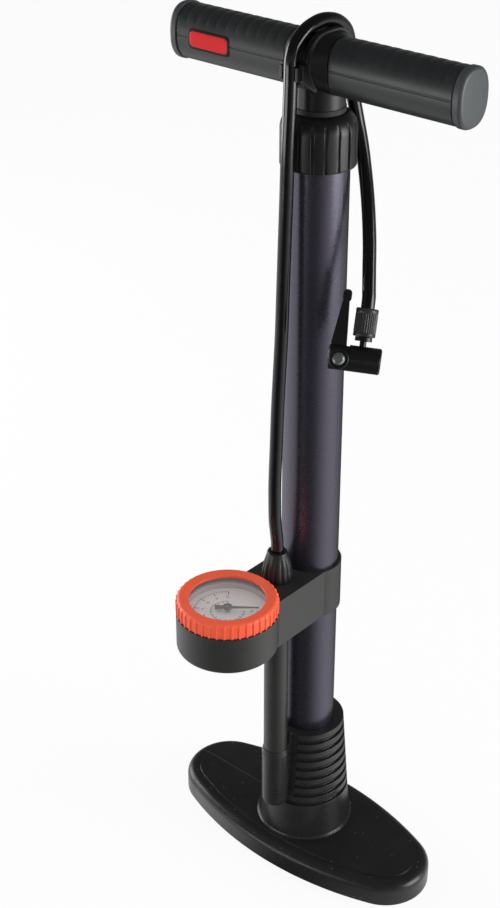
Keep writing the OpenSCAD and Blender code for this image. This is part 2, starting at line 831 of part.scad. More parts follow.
// Threaded nipple that holds the gland, and reaches the end of the hose
module hose_nipple() {
  reach = hose_from - nipple_z;
  color("#b08d4a")
    at_tube() translate([0, 0, nipple_z]) difference() {
      union() {
        cylinder(r = nipple_r, h = arm_top - nipple_z + nipple_flange);
        cylinder(r = hose_r - 1, h = reach);
      }
      translate([0, 0, -over]) cylinder(r = hose_r - 2, h = reach + 2 * over);
    }
}

// A fluted nut with a straight foot and a shoulder that narrows to the hose
module hose_gland() {
  flute_r = 1.4;
  flute_out = 0.8;
  foot_h = 4;
  shoulder_h = gland_h * 0.57;
  shoulder_r = gland_top_r + (gland_r - gland_top_r) * 0.68;
  edge = 0.6;
  lean = atan((gland_r - gland_top_r) / (gland_h - foot_h));
  color("#232324")
    at_tube() translate([0, 0, arm_top]) difference() {
      rotate_extrude()
        polygon([
          [0, 0], [gland_r, 0], [gland_r, foot_h], [shoulder_r, shoulder_h], [gland_top_r, gland_h - edge],
          [gland_top_r - edge, gland_h], [0, gland_h]]);
      for (i = [0 : gland_flutes - 1])
        rotate(360 * i / gland_flutes)
          translate([gland_r + flute_out, 0, foot_h]) rotate([0, -lean, 0])
            cylinder(r = flute_r, h = gland_h);
      translate([0, 0, -over]) cylinder(r = nipple_r + seat_gap, h = nipple_flange + over + seat_gap);
      translate([0, 0, -over]) cylinder(r = hose_r + seat_gap, h = gland_h + 2 * over);
    }
}

module gauge_bezel() {
  ridge_root = rim_r + bezel_wall / 2;
  color("#e0592f")
    at_gauge() translate([0, 0, bezel_z]) difference() {
      union() {
        rotate_extrude() {
          translate([rim_r + seat_gap, 0]) square([skirt_r - rim_r - seat_gap, bezel_h - bezel_edge_r]);
          translate([bezel_open_r, bezel_h - bezel_lip])
            square([skirt_r - bezel_edge_r - bezel_open_r, bezel_lip]);
          translate([skirt_r - bezel_edge_r, bezel_h - bezel_edge_r]) circle(bezel_edge_r);
        }
        for (i = [0 : bezel_ridges - 1])
          rotate(360 * i / bezel_ridges)
            translate([ridge_root, -ridge_w / 2, 0])
              cube([bezel_r - ridge_root, ridge_w, bezel_h - bezel_edge_r]);
      }
      translate([0, 0, -over]) cylinder(r = rim_r + seat_gap, h = bezel_h - bezel_lip + over);
    }
}

module gauge_lens() {
  color("#dfe6e8", 0.35)
    at_gauge() translate([0, 0, lens_z]) cylinder(r = dish_r - seat_gap, h = lens_t);
}

module gauge_spacer() {
  color("#8a8b8c")
    at_gauge() translate([0, 0, spacer_z]) pipe(dish_r - seat_gap, ledge_r - 1, spacer_h);
}

module gauge_dial() {
  color("#b5b6b4")
    at_gauge() translate([0, 0, dial_z]) pipe(dish_r - seat_gap, arbor_r + free_gap, dial_t);
}

module gauge_needle() {
  hub_r = 3;
  root = 1;
  tip = 0.25;
  tail = 2.2;
  color("#1b1b1b")
    at_gauge() translate([0, 0, needle_z]) rotate(needle_heading) difference() {
      union() {
        cylinder(r = hub_r, h = needle_hub_h);
        linear_extrude(needle_t)
          polygon([
            [0, -root], [needle_l, -tip], [needle_l, tip], [0, root], [-needle_tail, tail],
            [-needle_tail, -tail]]);
      }
      translate([0, 0, -over]) cylinder(r = arbor_r + seat_gap, h = needle_hub_h + 2 * over);
    }
}

// A toothed wheel's outline: trapezoid teeth from the root circle to the tip circle
function gear_outline(teeth, r, first, last) = [
  for (i = [first : last])
    let (pitch = 360 / teeth, a = i * pitch, m = gear_module)
      each [
        for (p = [[-0.30, -1.15], [-0.19, 0], [-0.08, 0.85], [0.08, 0.85], [0.19, 0], [0.30, -1.15]])
          (r + p[1] * m) * [cos(a + p[0] * pitch), sin(a + p[0] * pitch)]]];

module pointer_arbor() {
  color("#c2a35b")
    at_gauge() {
      translate([0, 0, plate_z + end_play])
        cylinder(r = arbor_r, h = needle_z + needle_hub_h - plate_z - end_play);
      translate([0, 0, gear_z - over / 2]) linear_extrude(sector_t + over)
        rotate(sector_dir) polygon(gear_outline(pinion_teeth, pinion_r, 0, pinion_teeth - 1));
    }
}

// Moves what is drawn at the sector's pivot, teeth towards +X, to its place at rest
module at_sector() {
  at_gauge() rotate(sector_dir) translate([gear_gap, 0, 0]) rotate(180 + sector_rest) children();
}

module sector_gear() {
  color("#c2a35b")
    at_sector() {
      translate([0, 0, plate_z + end_play])
        cylinder(r = pivot_r, h = bridge_z + bridge_t - end_play - plate_z);
      translate([0, 0, gear_z]) linear_extrude(sector_t) {
        rotate(180 / wheel_teeth) polygon([[0, 0], each gear_outline(wheel_teeth, sector_r, -4, 3)]);
        circle(sector_hub_r);
        difference() {
          translate([-tail_reach - tail_end, -tail_w / 2]) square([tail_reach + tail_end, tail_w]);
          translate([-tail_reach - tail_end - over, -tail_slot_w / 2])
            square([2 * tail_end + over, tail_slot_w]);
        }
      }
    }
}

// Section of the Bourdon tube, a flattened pipe
module bourdon_section() {
  wall = 0.4;
  translate([bourdon_r, 0]) difference() {
    round_rect(bourdon_t, bourdon_h, bourdon_t / 2 - tiny);
    round_rect(bourdon_t - 2 * wall, bourdon_h - 2 * wall, bourdon_t / 2 - wall - tiny);
  }
}

// A C-shaped tube between its socket on the cup's wall and a closed tip with a driving pin
module bourdon_tube() {
  socket_w = 8;
  tip_w = 4;
  arm_t = 1.4;
  socket_in = 0.5;
  socket_gap = 0.8;
  pin_edge = 1;
  pin_x = gear_gap + tail_reach * cos(sector_rest);
  pin_y = tail_reach * sin(sector_rest);
  inner = bourdon_r - bourdon_t / 2;
  color("#b08d4a")
    at_gauge() {
      translate([0, 0, bourdon_z]) difference() {
        translate([-socket_w / 2, inner - socket_in, -bourdon_rise])
          cube([socket_w, ledge_r - socket_gap - inner, bourdon_h + bourdon_rise]);
        translate([0, bourdon_r, passage_z - bourdon_z]) along_y(port_r / 2, ledge_r);
      }
      rotate(sector_dir) {
        translate([0, 0, bourdon_z + bourdon_h / 2]) rotate_extrude(angle = bourdon_a) bourdon_section();
        translate([inner, -tip_w, bourdon_z]) cube([bourdon_t, tip_w, bourdon_h]);
        // arm over the sector's tail, and the pin down into its slot
        translate([pin_x - pin_edge, -tip_w, bourdon_z + bourdon_h - arm_t])
          cube([inner - pin_x + pin_edge + tiny, tip_w, arm_t]);
        translate([pin_x, pin_y, gear_z]) cylinder(r = drive_pin_r, h = bourdon_z + bourdon_h - gear_z);
      }
    }
}

module movement_plate() {
  color("#c2a35b")
    at_gauge() translate([0, 0, plate_z]) difference() {
      union() {
        cylinder(r = plate_r, h = plate_t);
        rotate(sector_dir + 90) for (s = [-1, 1])
          translate([s * pillar_at, 0, 0]) cylinder(r = movement_post_r, h = bridge_z - plate_z);
      }
      translate([0, 0, -over]) cylinder(r = arbor_r + run_gap, h = plate_t + 2 * over);
      rotate(sector_dir) translate([gear_gap, 0, -over])
        cylinder(r = pivot_r + run_gap, h = plate_t + 2 * over);
    }
}

module movement_bridge() {
  color("#c2a35b")
    at_gauge() translate([0, 0, bridge_z]) difference() {
      linear_extrude(bridge_t) rotate(sector_dir) {
        rotate(90) round_rect(2 * pillar_at + bridge_w, bridge_w, bridge_end_r);
        translate([gear_gap / 2, 0]) round_rect(gear_gap + bridge_w, bridge_w, bridge_end_r);
      }
      translate([0, 0, -over]) cylinder(r = arbor_r + run_gap, h = bridge_t + 2 * over);
      rotate(sector_dir) translate([gear_gap, 0, -over])
        cylinder(r = pivot_r + run_gap, h = bridge_t + 2 * over);
    }
}

// Half section of the cap: rounded lower edge, straight side and a shoulder along an arc
module cap_profile() {
  edge = 3;
  edge_in = 1.6;
  run = cap_r - cap_top_r;
  arc_r = (cap_shoulder * cap_shoulder + run * run) / (2 * run);
  arc_z = cap_top - cap_shoulder;
  polygon([
    [0, cap_z], [cap_r - edge_in, cap_z], [cap_r - edge_in / 3, cap_z + edge / 2],
    [cap_r, cap_z + edge], [cap_r, arc_z], [0, arc_z]]);
  translate([0, arc_z - over]) square([cap_top_r - over, cap_shoulder + over]);
  intersection() {
    translate([cap_r - arc_r, arc_z]) circle(arc_r);
    translate([cap_top_r - 2 * over, arc_z - over]) square([arc_r, cap_shoulder + over]);
  }
}

module top_cap() {
  color("#2a2a2b")
    difference() {
      rotate_extrude() cap_profile();
      for (i = [0 : cap_grooves - 1])
        rotate(360 * i / cap_grooves)
          translate([cap_r - cap_groove_d, -cap_groove_w / 2, cap_z - over])
            cube([2 * cap_groove_d, cap_groove_w, cap_h + 2 * over]);
      translate([0, 0, cap_z - over])
        cylinder(r = barrel_r + seat_gap, h = barrel_top + guide_flange - cap_z + over);
      cylinder(r = wiper_r + seat_gap, h = cap_top + over);
    }
}

module rod_guide() {
  color("#d8d6cf")
    difference() {
      union() {
        translate([0, 0, barrel_top - guide_l]) cylinder(r = bore_r - seat_gap, h = guide_l);
        translate([0, 0, barrel_top]) cylinder(r = barrel_r - seat_gap, h = guide_flange);
      }
      translate([0, 0, barrel_top - guide_l - over])
        cylinder(r = rod_r + run_gap, h = guide_l + guide_flange + 2 * over);
    }
}

module rod_wiper() {
  color("#151515")
    translate([0, 0, cap_top - cap_roof]) pipe(wiper_r, rod_r + run_gap, cap_roof);
}

module plunger_rod() {
  color("#c9ccd0")
    difference() {
      union() {
        translate([0, 0, stud_z]) cylinder(r = stud_r, h = rod_top - stud_z);
        translate([0, 0, rod_z]) cylinder(r = rod_r, h = rod_top - rod_z);
      }
      translate([0, -rod_d, handle_pin_z]) along_y(handle_pin_d / 2 + seat_gap, 2 * rod_d);
    }
}

module piston() {
  color("#d8d6cf")
    difference() {
      translate([0, 0, piston_z]) cylinder(r = bore_r - free_gap, h = piston_l);
      translate([0, 0, piston_z - over]) cylinder(r = stud_r + seat_gap, h = piston_l + 2 * over);
      translate([0, 0, rod_z - seat_gap]) cylinder(r = rod_r + seat_gap, h = piston_l);
    }
}

module piston_cup() {
  seal_r = bore_r - run_gap;
  low = piston_z - piston_cup_h;
  color("#1a1512")
    rotate_extrude()
      polygon([
        [stud_r + seat_gap, piston_z], [seal_r, piston_z], [seal_r, low], [seal_r - 1, low],
        [seal_r - piston_cup_t, cup_seal_z], [stud_r + seat_gap, cup_seal_z]]);
}

module piston_washer() {
  washer_in = 2.5;
  color("#a9acb0")
    translate([0, 0, washer_z]) pipe(bore_r - piston_cup_t - washer_in, stud_r + seat_gap, washer_t);
}

module piston_nut() {
  color("#a9acb0")
    translate([0, 0, piston_nut_z]) difference() {
      cylinder(r = stud_d * 0.95, h = piston_nut_h, $fn = 6);
      translate([0, 0, -over]) cylinder(r = stud_r + seat_gap, h = piston_nut_h + 2 * over);
    }
}

module handle_bumper() {
  bumper_out = 0.4;
  color("#161616")
    translate([0, 0, bumper_z]) pipe(neck_r + bumper_out, rod_r + seat_gap, bumper_t);
}

// The grips' section, with the handle's axis at the origin
module grip_section() {
  round_rect(grip_depth, grip_height, grip_corner_r);
}

// Stands a section drawn in depth and height across the handle's axis, at x, for a length
module across_handle(x, l) {
  translate([x, 0, handle_z]) rotate([90, 0, 90]) linear_extrude(l) children();
}

// The saddle under the hose, wider above than below, grown by an equal distance all round
module saddle_section(grow) {
  intersection() {
    circle(saddle_r + grow);
    translate([-cheek_y, -2 * saddle_r]) square([2 * cheek_y, 2 * saddle_r + over]);
  }
  intersection() {
    round_rect(2 * (saddle_y + grow), 2 * (saddle_r + grow), saddle_corner + grow);
    translate([-cheek_y, 0]) square([2 * cheek_y, 2 * saddle_r]);
  }
}

// A cheek beside the hose: the saddle's arch, a front and a back wall and sloping lower corners
module cheek_section() {
  saddle_section(cheek_rise);
  polygon([
    [-cheek_y, cheek_top], [-cheek_y, -cheek_low], [-neck_r + over, -cheek_drop],
    [neck_r - over, -cheek_drop], [cheek_y, -cheek_low], [cheek_y, cheek_top]]);
}

// The floor of the hose channel, over the saddle and down the front and the back
module channel_section() {
  saddle_section(0);
  translate([-channel_y, -channel_drop]) square([2 * channel_y, channel_drop + cheek_top]);
}

module handle_hub() {
  finger_x = channel_x + 1.8;
  finger_low = 5;
  finger_h = 8;
  root_in = 1.5;
  slice = 0.2;
  color("#151516")
    difference() {
      union() {
        translate([0, 0, neck_z]) cylinder(r = neck_r, h = handle_rise);
        intersection() {
          across_handle(-cheek_x, 2 * cheek_x) channel_section();
          across_handle(-cheek_x, 2 * cheek_x) cheek_section();
        }
        for (s = [-1, 1]) {
          across_handle(s > 0 ? channel_x : -cheek_x, cheek_x - channel_x) cheek_section();
          hull() {
            across_handle(s * (cheek_x - root_in) - slice / 2, slice) saddle_section(0, $fn = 48);
            across_handle(s * (hub_half - slice / 2) - slice / 2, slice) grip_section($fn = 48);
          }
          // fingers that hold the hose at the front
          translate([s > 0 ? channel_x : -finger_x, -finger_y, handle_z - finger_low])
            cube([finger_x - channel_x, finger_y - channel_y, finger_h]);
        }
      }
      translate([-hub_half - over, 0, handle_z])
        along_x(crossbar_r + seat_gap, 2 * hub_half + 2 * over);
      translate([0, 0, neck_z - over])
        cylinder(r = rod_r + seat_gap, h = rod_top - neck_z + over + seat_gap);
      // blind hole for the pin, from the back
      translate([0, -handle_pin_in - seat_gap, handle_pin_z])
        along_y(handle_pin_d / 2 + seat_gap, handle_pin_in + 2 * neck_r);
    }
}

module handle_crossbar() {
  color("#b9bcc0")
    difference() {
      translate([-grip_end, 0, handle_z]) along_x(crossbar_r, 2 * grip_end);
      translate([-grip_end - over, 0, handle_z])
        along_x(crossbar_r - crossbar_wall, 2 * grip_end + 2 * over);
    }
}

// A grip on the +X side, with finger ridges over its upper half
module grip() {
  step = (grip_end - grip_start) / (grip_ridges + 1);
  color("#39393a")
    difference() {
      union() {
        across_handle(grip_start, grip_end - grip_start) grip_section();
        for (i = [1 : grip_ridges])
          across_handle(grip_start + i * step - step * 0.3, step * 0.6)
            intersection() {
              round_rect(grip_depth + 2 * ridge_h, grip_height + 2 * ridge_h, grip_corner_r + ridge_h);
              translate([-grip_depth, 1]) square([2 * grip_depth, grip_height]);
            }
      }
      translate([grip_start - over, 0, handle_z])
        along_x(crossbar_r + seat_gap, grip_end - grip_start + 2 * over);
    }
}

module handle_grip_left() {
  mirror([1, 0, 0]) grip();
}

module handle_grip_right() {
  grip();
}

// An end cap on the +X side: a rounded oval with a plug in the crossbar
module end_cap() {
  plug_l = 8;
  color("#4b4c4d")
    translate([seat_gap, 0, 0]) {
      hull() for (a = [0, 30, 60, 90]) {
        inset = end_cap_edge * (1 - cos(a)) - end_cap_proud;
        across_handle(grip_end, a == 0 ? tiny : end_cap_l - seat_gap - end_cap_edge * (1 - sin(a)))
          round_rect(grip_depth - 2 * inset, grip_height - 2 * inset, grip_corner_r - inset, $fn = 48);
      }
      translate([grip_end - plug_l, 0, handle_z])
        along_x(crossbar_r - crossbar_wall - seat_gap, plug_l + over);
    }
}

module handle_end_left() {
  mirror([1, 0, 0]) end_cap();
}

module handle_end_right() {
  end_cap();
}

module handle_pin() {
  color("#9a9da1")
    translate([0, -handle_pin_in, handle_pin_z]) along_y(handle_pin_d / 2, handle_pin_in + neck_r - over);
}

module hose() {
  color("#101011")
    sweep(hose_route, hose_r, hose_sides, [1, 0, 0]);
}

module hose_nut() {
  groove_r = 0.5;
  groove_out = 0.1;
  end_step = 1;
  end_in = 0.8;
  color("#2e2e2f")
    at_head() translate([nut_x, 0, nut_z]) difference() {
      union() {
        translate([0, 0, end_step]) cylinder(d = nut_d, h = nut_l - 2 * end_step);
        cylinder(r = nut_d / 2 - end_in, h = nut_l);
      }
      for (i = [0 : nut_grooves - 1])
        rotate(360 * i / nut_grooves) translate([nut_d / 2 + groove_out, 0, -over])
          cylinder(r = groove_r, h = nut_l + 2 * over, $fn = 16);
      translate([0, 0, stub_l]) cylinder(r = hose_r + 4 * seat_gap, h = nut_l);
      translate([0, 0, -over]) cylinder(r = hose_r - 1 + seat_gap, h = nut_l);
    }
}

module hose_tail() {
  low = bore_rise + rubber_r;
  flange_r = nut_d / 2 - 1.6;
  color("#3a3a3b")
    at_head() translate([nut_x, 0, 0]) difference() {
      union() {
        translate([0, 0, low]) cylinder(r = tail_r, h = nut_z - low);
        translate([0, 0, nut_z - tail_flange_t - seat_gap]) cylinder(r = flange_r, h = tail_flange_t);
        translate([0, 0, nut_z - over]) cylinder(r = hose_r - 1, h = stub_l + over - 3 * seat_gap);
      }
      translate([0, 0, low - over]) cylinder(r = tail_bore_r, h = nut_z + stub_l);
    }
}

module head_body() {
  slot_low = cam_sweep + free_gap;
  back_edge = 1;
  mouth_edge = 0.8;
  boss_in = 2.2;
  mouth_gap = 0.3;
  color("#19191a")
    difference() {
      union() {
        at_bore() rotate([0, 90, 0]) rotate_extrude()
          polygon([
            [0, -head_back], [head_r - back_edge, -head_back], [head_r, back_edge - head_back],
            [head_r, head_mouth - mouth_edge], [head_r - mouth_edge, head_mouth], [0, head_mouth]]);
        at_head() translate([0, -cheek_t, 0]) along_y(head_r - boss_in, 2 * cheek_t);
      }
      at_head() {
        // slot for the lever, open above and behind
        translate([-head_back - over, -slot_w / 2, -slot_low])
          cube([head_back + over + slot_low, slot_w, 3 * head_r]);
        translate([0, -head_d, 0]) along_y(lever_pin_d / 2 + seat_gap, 2 * head_d);
        translate([nut_x, 0, bore_rise]) cylinder(r = tail_r + seat_gap, h = head_d);
      }
      at_bore() {
        along_x(pusher_r + run_gap, rubber_x + over);
        translate([rubber_x, 0, 0]) along_x(rubber_r + seat_gap, rubber_l + seat_gap);
        translate([rubber_x + rubber_l, 0, 0]) along_x(valve_hole_d / 2 + mouth_gap, rubber_l);
      }
    }
}

// Side of the lever: cam round the pin, tapered blade and a round knob
module lever_side() {
  knob_r = 2.6;
  knob_h = 7.4;
  knob_x = 0.3;
  blade_top = lever_l - knob_h + 0.8;
  translate([cam_throw, cam_throw]) circle(cam_r);
  polygon([[-cam_r, 1.5], [4.4, 1.5], [4.2, 6], [3.8, 9], [2, blade_top], [-2, blade_top], [-5.6, 9.5]]);
  translate([knob_x, lever_l - knob_h / 2]) round_rect(2 * knob_r, knob_h, knob_r - 0.2);
}

module head_lever() {
  color("#141415")
    at_head() difference() {
      translate([0, lever_t / 2, 0]) rotate([90, 0, 0]) linear_extrude(lever_t) lever_side();
      translate([0, -head_d, 0]) along_y(lever_pin_d / 2 + run_gap, 2 * head_d);
    }
}

module head_rivet() {
  dome = 1.2;
  dome_r = rivet_d / 2;
  half_l = cheek_t + seat_gap / 2;
  color("#c4c7cb")
    at_head() {
      translate([0, -half_l - tiny, 0]) along_y(lever_pin_d / 2, 2 * half_l + 2 * tiny);
      for (s = [-1, 1])
        rotate([s * 90, 0, 0]) translate([0, 0, half_l]) rotate_extrude()
          polygon([[0, 0], [dome_r, 0], [dome_r * 0.92, dome * 0.6], [dome_r * 0.64, dome], [0, dome]]);
    }
}

module head_rubber() {
  color("#0f0f0f")
    at_bore() translate([rubber_x, 0, 0]) difference() {
      along_x(rubber_r, rubber_l);
      translate([-over, 0, 0]) along_x(valve_hole_d / 2, rubber_l + 2 * over);
    }
}

module head_pusher() {
  color("#d8d6cf")
    at_bore() translate([pusher_x, 0, 0]) along_x(pusher_r, rubber_x - pusher_x - free_gap);
}

foot_plate();
foot_screws();
barrel_base();
barrel();
barrel_gasket();
check_valve();
check_spring();
air_tube();
air_tube_seals();
gauge_bracket();
hose_gland();
hose_nipple();
gauge_bezel();
gauge_lens();
gauge_spacer();
gauge_dial();
gauge_needle();
pointer_arbor();
sector_gear();
bourdon_tube();
movement_plate();
movement_bridge();
top_cap();
rod_guide();
rod_wiper();
plunger_rod();
piston();
piston_cup();
piston_washer();
piston_nut();
handle_bumper();
handle_hub();
handle_crossbar();
handle_grip_left();
handle_grip_right();
handle_end_left();
handle_end_right();
handle_pin();
hose();
hose_nut();
hose_tail();
head_body();
head_lever();
head_rivet();
head_rubber();
head_pusher();
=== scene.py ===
# %% [markdown]
# Floor pump. The CAD model comes in first and stays where it is: it is the frame that everything
# else is measured from. Each later step takes one piece of the pump, says what it is on the real
# object, and either gives the CAD solid a finish or lays a finer surface over the same place.

# %% Load the frame
import math

import bmesh
import bpy
import numpy as np
from mathutils import Matrix, Vector


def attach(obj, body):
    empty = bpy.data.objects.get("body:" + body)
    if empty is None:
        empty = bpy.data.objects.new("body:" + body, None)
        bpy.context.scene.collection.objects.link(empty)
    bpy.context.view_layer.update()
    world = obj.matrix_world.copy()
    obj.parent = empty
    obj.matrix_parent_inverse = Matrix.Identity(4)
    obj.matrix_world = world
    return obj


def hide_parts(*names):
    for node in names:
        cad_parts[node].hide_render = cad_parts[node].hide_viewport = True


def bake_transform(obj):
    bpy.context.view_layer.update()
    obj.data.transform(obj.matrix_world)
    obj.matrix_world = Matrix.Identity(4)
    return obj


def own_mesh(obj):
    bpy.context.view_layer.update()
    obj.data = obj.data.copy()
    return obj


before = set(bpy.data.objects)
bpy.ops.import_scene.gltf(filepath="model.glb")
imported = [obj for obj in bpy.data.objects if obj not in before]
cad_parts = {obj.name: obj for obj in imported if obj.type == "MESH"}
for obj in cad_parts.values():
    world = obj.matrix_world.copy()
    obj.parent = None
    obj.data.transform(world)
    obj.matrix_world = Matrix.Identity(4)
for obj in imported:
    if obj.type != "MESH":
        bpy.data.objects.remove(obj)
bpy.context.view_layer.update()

MM = 0.001
scene = bpy.context.scene
scene.view_settings.view_transform = "Standard"

# %% [markdown]
# The camera comes before the pieces. Its place and lens were found by lining up known points of
# the pump with the photograph: a long lens, a little above the handle, looking down by thirty degrees.

# %% Camera
eye = Vector((0.5725, -0.7130, 0.8382))
look = Vector((-0.5726, 0.6528, -0.4960)).normalized()
camera_right = look.cross(Vector((0, 0, 1))).normalized()
camera_up = camera_right.cross(look)
photo_camera = bpy.data.objects.new("photo_camera", bpy.data.cameras.new("photo_camera"))
photo_camera.data.sensor_width = 36
photo_camera.data.lens = 64.85
photo_camera.data.clip_end = 20
photo_camera.matrix_world = (
    Matrix.Translation(eye) @ Matrix((camera_right, camera_up, -look)).transposed().to_4x4())
scene.collection.objects.link(photo_camera)
scene.camera = photo_camera
print("camera: %.0f mm lens, %.2f m from the gauge"
      % (photo_camera.data.lens, (eye - Vector((0, -0.08, 0.24))).length))

# %% [markdown]
# Most new pieces are skins: points on a grid, worked out as whole arrays, with a square face
# between each four neighbours. One helper turns such a grid into a mesh, and closes its ends. A
# second stands a profile of radius and height round an upright axis.

# %% Skin helpers
def skin(name, grid, loop_u=False, loop_v=True, ends=False, crease=40):
    """Mesh over a grid of points, shape (rows, columns, 3). Each face joins a point, its right-hand
    neighbour, and the two above. A looped direction joins its last points to its first, and ends
    close the first and the last row. Normals are then turned outwards."""
    rows, columns = grid.shape[:2]
    index = np.arange(rows * columns).reshape(rows, columns)
    here = index if loop_u else index[:-1]
    above = np.roll(index, -1, 0) if loop_u else index[1:]
    if loop_v:
        quads = np.stack([here, np.roll(here, -1, 1), np.roll(above, -1, 1), above], -1)
    else:
        quads = np.stack([here[:, :-1], here[:, 1:], above[:, 1:], above[:, :-1]], -1)
    faces = quads.reshape(-1, 4).tolist()
    if ends:
        faces += [index[0, ::-1].tolist(), index[-1].tolist()]
    mesh = bpy.data.meshes.new(name)
    mesh.from_pydata(grid.reshape(-1, 3).tolist(), [], faces)
    shell = bmesh.new()
    shell.from_mesh(mesh)
    bmesh.ops.remove_doubles(shell, verts=shell.verts, dist=1e-7)
    bmesh.ops.recalc_face_normals(shell, faces=shell.faces)
    shell.to_mesh(mesh)
    shell.free()
    mesh.shade_smooth()
    mesh.set_sharp_from_angle(angle=math.radians(crease))
    piece = bpy.data.objects.new(name, mesh)
    scene.collection.objects.link(piece)
    return piece


def around(count):
    """Angles of a full turn, without the last, which is the first again."""
    return np.linspace(0, 2 * np.pi, count, endpoint=False)


def smooth(t):
    """A step from 0 to 1 without corners: 3 t^2 - 2 t^3, held flat outside 0 to 1."""
    t = np.clip(t, 0, 1)
    return t * t * (3 - 2 * t)


def stand(r, a, z, centre=(0.0, 0.0)):
    """Grid of points at radius r and angle a round an upright axis, at height z, in metres."""
    return MM * np.stack(np.broadcast_arrays(centre[0] + r * np.cos(a), centre[1] + r * np.sin(a), z), -1)


def quarter(count, low=0.0, high=90.0):
    """Cosine and sine along part of a circle, for rounded edges."""
    q = np.radians(np.linspace(low, high, count))
    return np.cos(q), np.sin(q)


print("skin helpers ready")

# %% [markdown]
# The hose is the one soft piece. It leaves the gland on the gauge's arm, climbs beside the barrel,
# lies over the hub of the handle and hangs down to the head. On the real pump it follows the handle
# when the handle is drawn up; here it is a tube of rings along a smooth line. The points are those
# of the CAD model: first depth and share of the climb, then depth and height over the handle's axis,
# then plain points down to the head.

# %% Hose
HANDLE_Z = 572.4
HOSE_R = 4.1 * MM
AIR_TUBE = (0.0, -33.6)
HOSE_CLIMB = np.array([
    (-33.6, 0), (-33.6, 0.05), (-34.5, 0.08), (-36, 0.125), (-36.5, 0.18), (-36.5, 0.245), (-35.5, 0.345),
    (-34.5, 0.45), (-33, 0.55), (-31.5, 0.65), (-30.5, 0.77), (-29.5, 0.885), (-28.5, 1)])
HOSE_OVER = np.array([
    (-27.8, -46.4), (-26.6, -22.4), (-26, -6.4), (-25.6, 5.6), (-23.2, 12.6), (-19, 17), (-13.5, 20.3),
    (-7, 22.2), (0, 23), (7, 22.2), (13.5, 20.3), (19, 17), (23.2, 12.6), (25.6, 5.6)])
HOSE_FALL = np.array([
    (0.2, 26.2, 566), (3, 27, 549), (7, 27, 534), (12, 25.6, 520), (17, 22.8, 507), (22.5, 18.7, 494.5),
    (28, 13.8, 482), (33.5, 8.2, 468.5), (38.5, 2.2, 455.5), (42.5, -2.6, 445), (44.4, -5, 439.5),
    (47.2, -11.2, 425.6)])
hose_points = MM * np.vstack([
    np.insert(HOSE_CLIMB * (1, 248) + (0, 252), 0, 0, axis=1),
    np.insert(HOSE_OVER + (0, HANDLE_Z), 0, 0, axis=1),
    HOSE_FALL])


def smooth_line(points, step):
    """Points at equal steps along a Catmull-Rom curve. Between p1 and p2 the curve is half of
    2 p1 + (p2 - p0) t + (2 p0 - 5 p1 + 4 p2 - p3) t^2 + (3 p1 - p0 - 3 p2 + p3) t^3."""
    padded = np.vstack([2 * points[0] - points[1], points, 2 * points[-1] - points[-2]])
    p0, p1, p2, p3 = (padded[i:len(padded) - 3 + i, None] for i in range(4))
    t = np.linspace(0, 1, 24, endpoint=False)[None, :, None]
    curve = 0.5 * (2 * p1 + (p2 - p0) * t + (2 * p0 - 5 * p1 + 4 * p2 - p3) * t ** 2
                   + (3 * p1 - p0 - 3 * p2 + p3) * t ** 3)
    curve = np.vstack([curve.reshape(-1, 3), points[-1:]])
    reach = np.concatenate([[0], np.cumsum(np.linalg.norm(np.diff(curve, axis=0), axis=1))])
    even = np.linspace(0, reach[-1], int(reach[-1] / step) + 1)
    return np.stack([np.interp(even, reach, curve[:, k]) for k in range(3)], -1), reach[-1]


def tube(line, radius, sides, lead):
    """Rings round a line: centre + r (cos a u + sin a w), where u is the lead direction made square
    to the line's tangent t, and w = t x u."""
    t = np.gradient(line, axis=0)
    t /= np.linalg.norm(t, axis=1)[:, None]
    u = lead - (t @ lead)[:, None] * t
    u /= np.linalg.norm(u, axis=1)[:, None]
    w = np.cross(t, u)
    a = around(sides)[None, :, None]
    return line[:, None] + radius * (np.cos(a) * u[:, None] + np.sin(a) * w[:, None])


hose_line, hose_length = smooth_line(hose_points, 1.6 * MM)
hose_tube = skin("hose_tube", tube(hose_line, HOSE_R, 28, np.array([1.0, 0, 0])), ends=True)
print("hose: %.3f m long, %d rings" % (hose_length, len(hose_line)))

# %% [markdown]
# Finishes are small node trees. Every one reads Object coordinates, in metres, so that a grain of
# a third of a millimetre has that size on each piece. A short helper makes nodes and joins them.

# %% Node helpers
def srgb(*levels):
    """Linear colour of a screen colour given in steps of 0 to 255."""
    c = np.array(levels, float) / 255
    return tuple(np.where(c <= 0.04045, c / 12.92, ((c + 0.055) / 1.055) ** 2.4)) + (1.0,)


def step_node(tree, kind, settings=None, **sockets):
    """Adds a node, sets its settings, and fills its sockets with values or with other sockets. A
    socket goes by its name, or by i and its number."""
    made = tree.nodes.new("ShaderNode" + kind)
    for key, value in (settings or {}).items():
        setattr(made, key, value)
    for key, value in sockets.items():
        numbered = key[0] == "i" and key[1:].isdigit()
        socket = made.inputs[int(key[1:]) if numbered else key.replace("_", " ")]
        if isinstance(value, bpy.types.NodeSocket):
            tree.links.new(value, socket)
        else:
            socket.default_value = value
    return made


def spread(tree, value, low, high, to_low, to_high):
    """Maps a value from one range to another, held at the ends."""
    return step_node(tree, "MapRange", Value=value, From_Min=low, From_Max=high, To_Min=to_low,
                     To_Max=to_high).outputs[0]


def tinted(tree, colour, tone):
    """A colour times a varying tone."""
    return step_node(tree, "Mix", {"data_type": "RGBA", "blend_type": "MULTIPLY"}, i0=1.0, i6=colour,
                     i7=tone).outputs[2]


def blended(tree, share, first, second):
    """From the first colour to the second, by a share."""
    return step_node(tree, "Mix", {"data_type": "RGBA"}, i0=share, i6=first, i7=second).outputs[2]


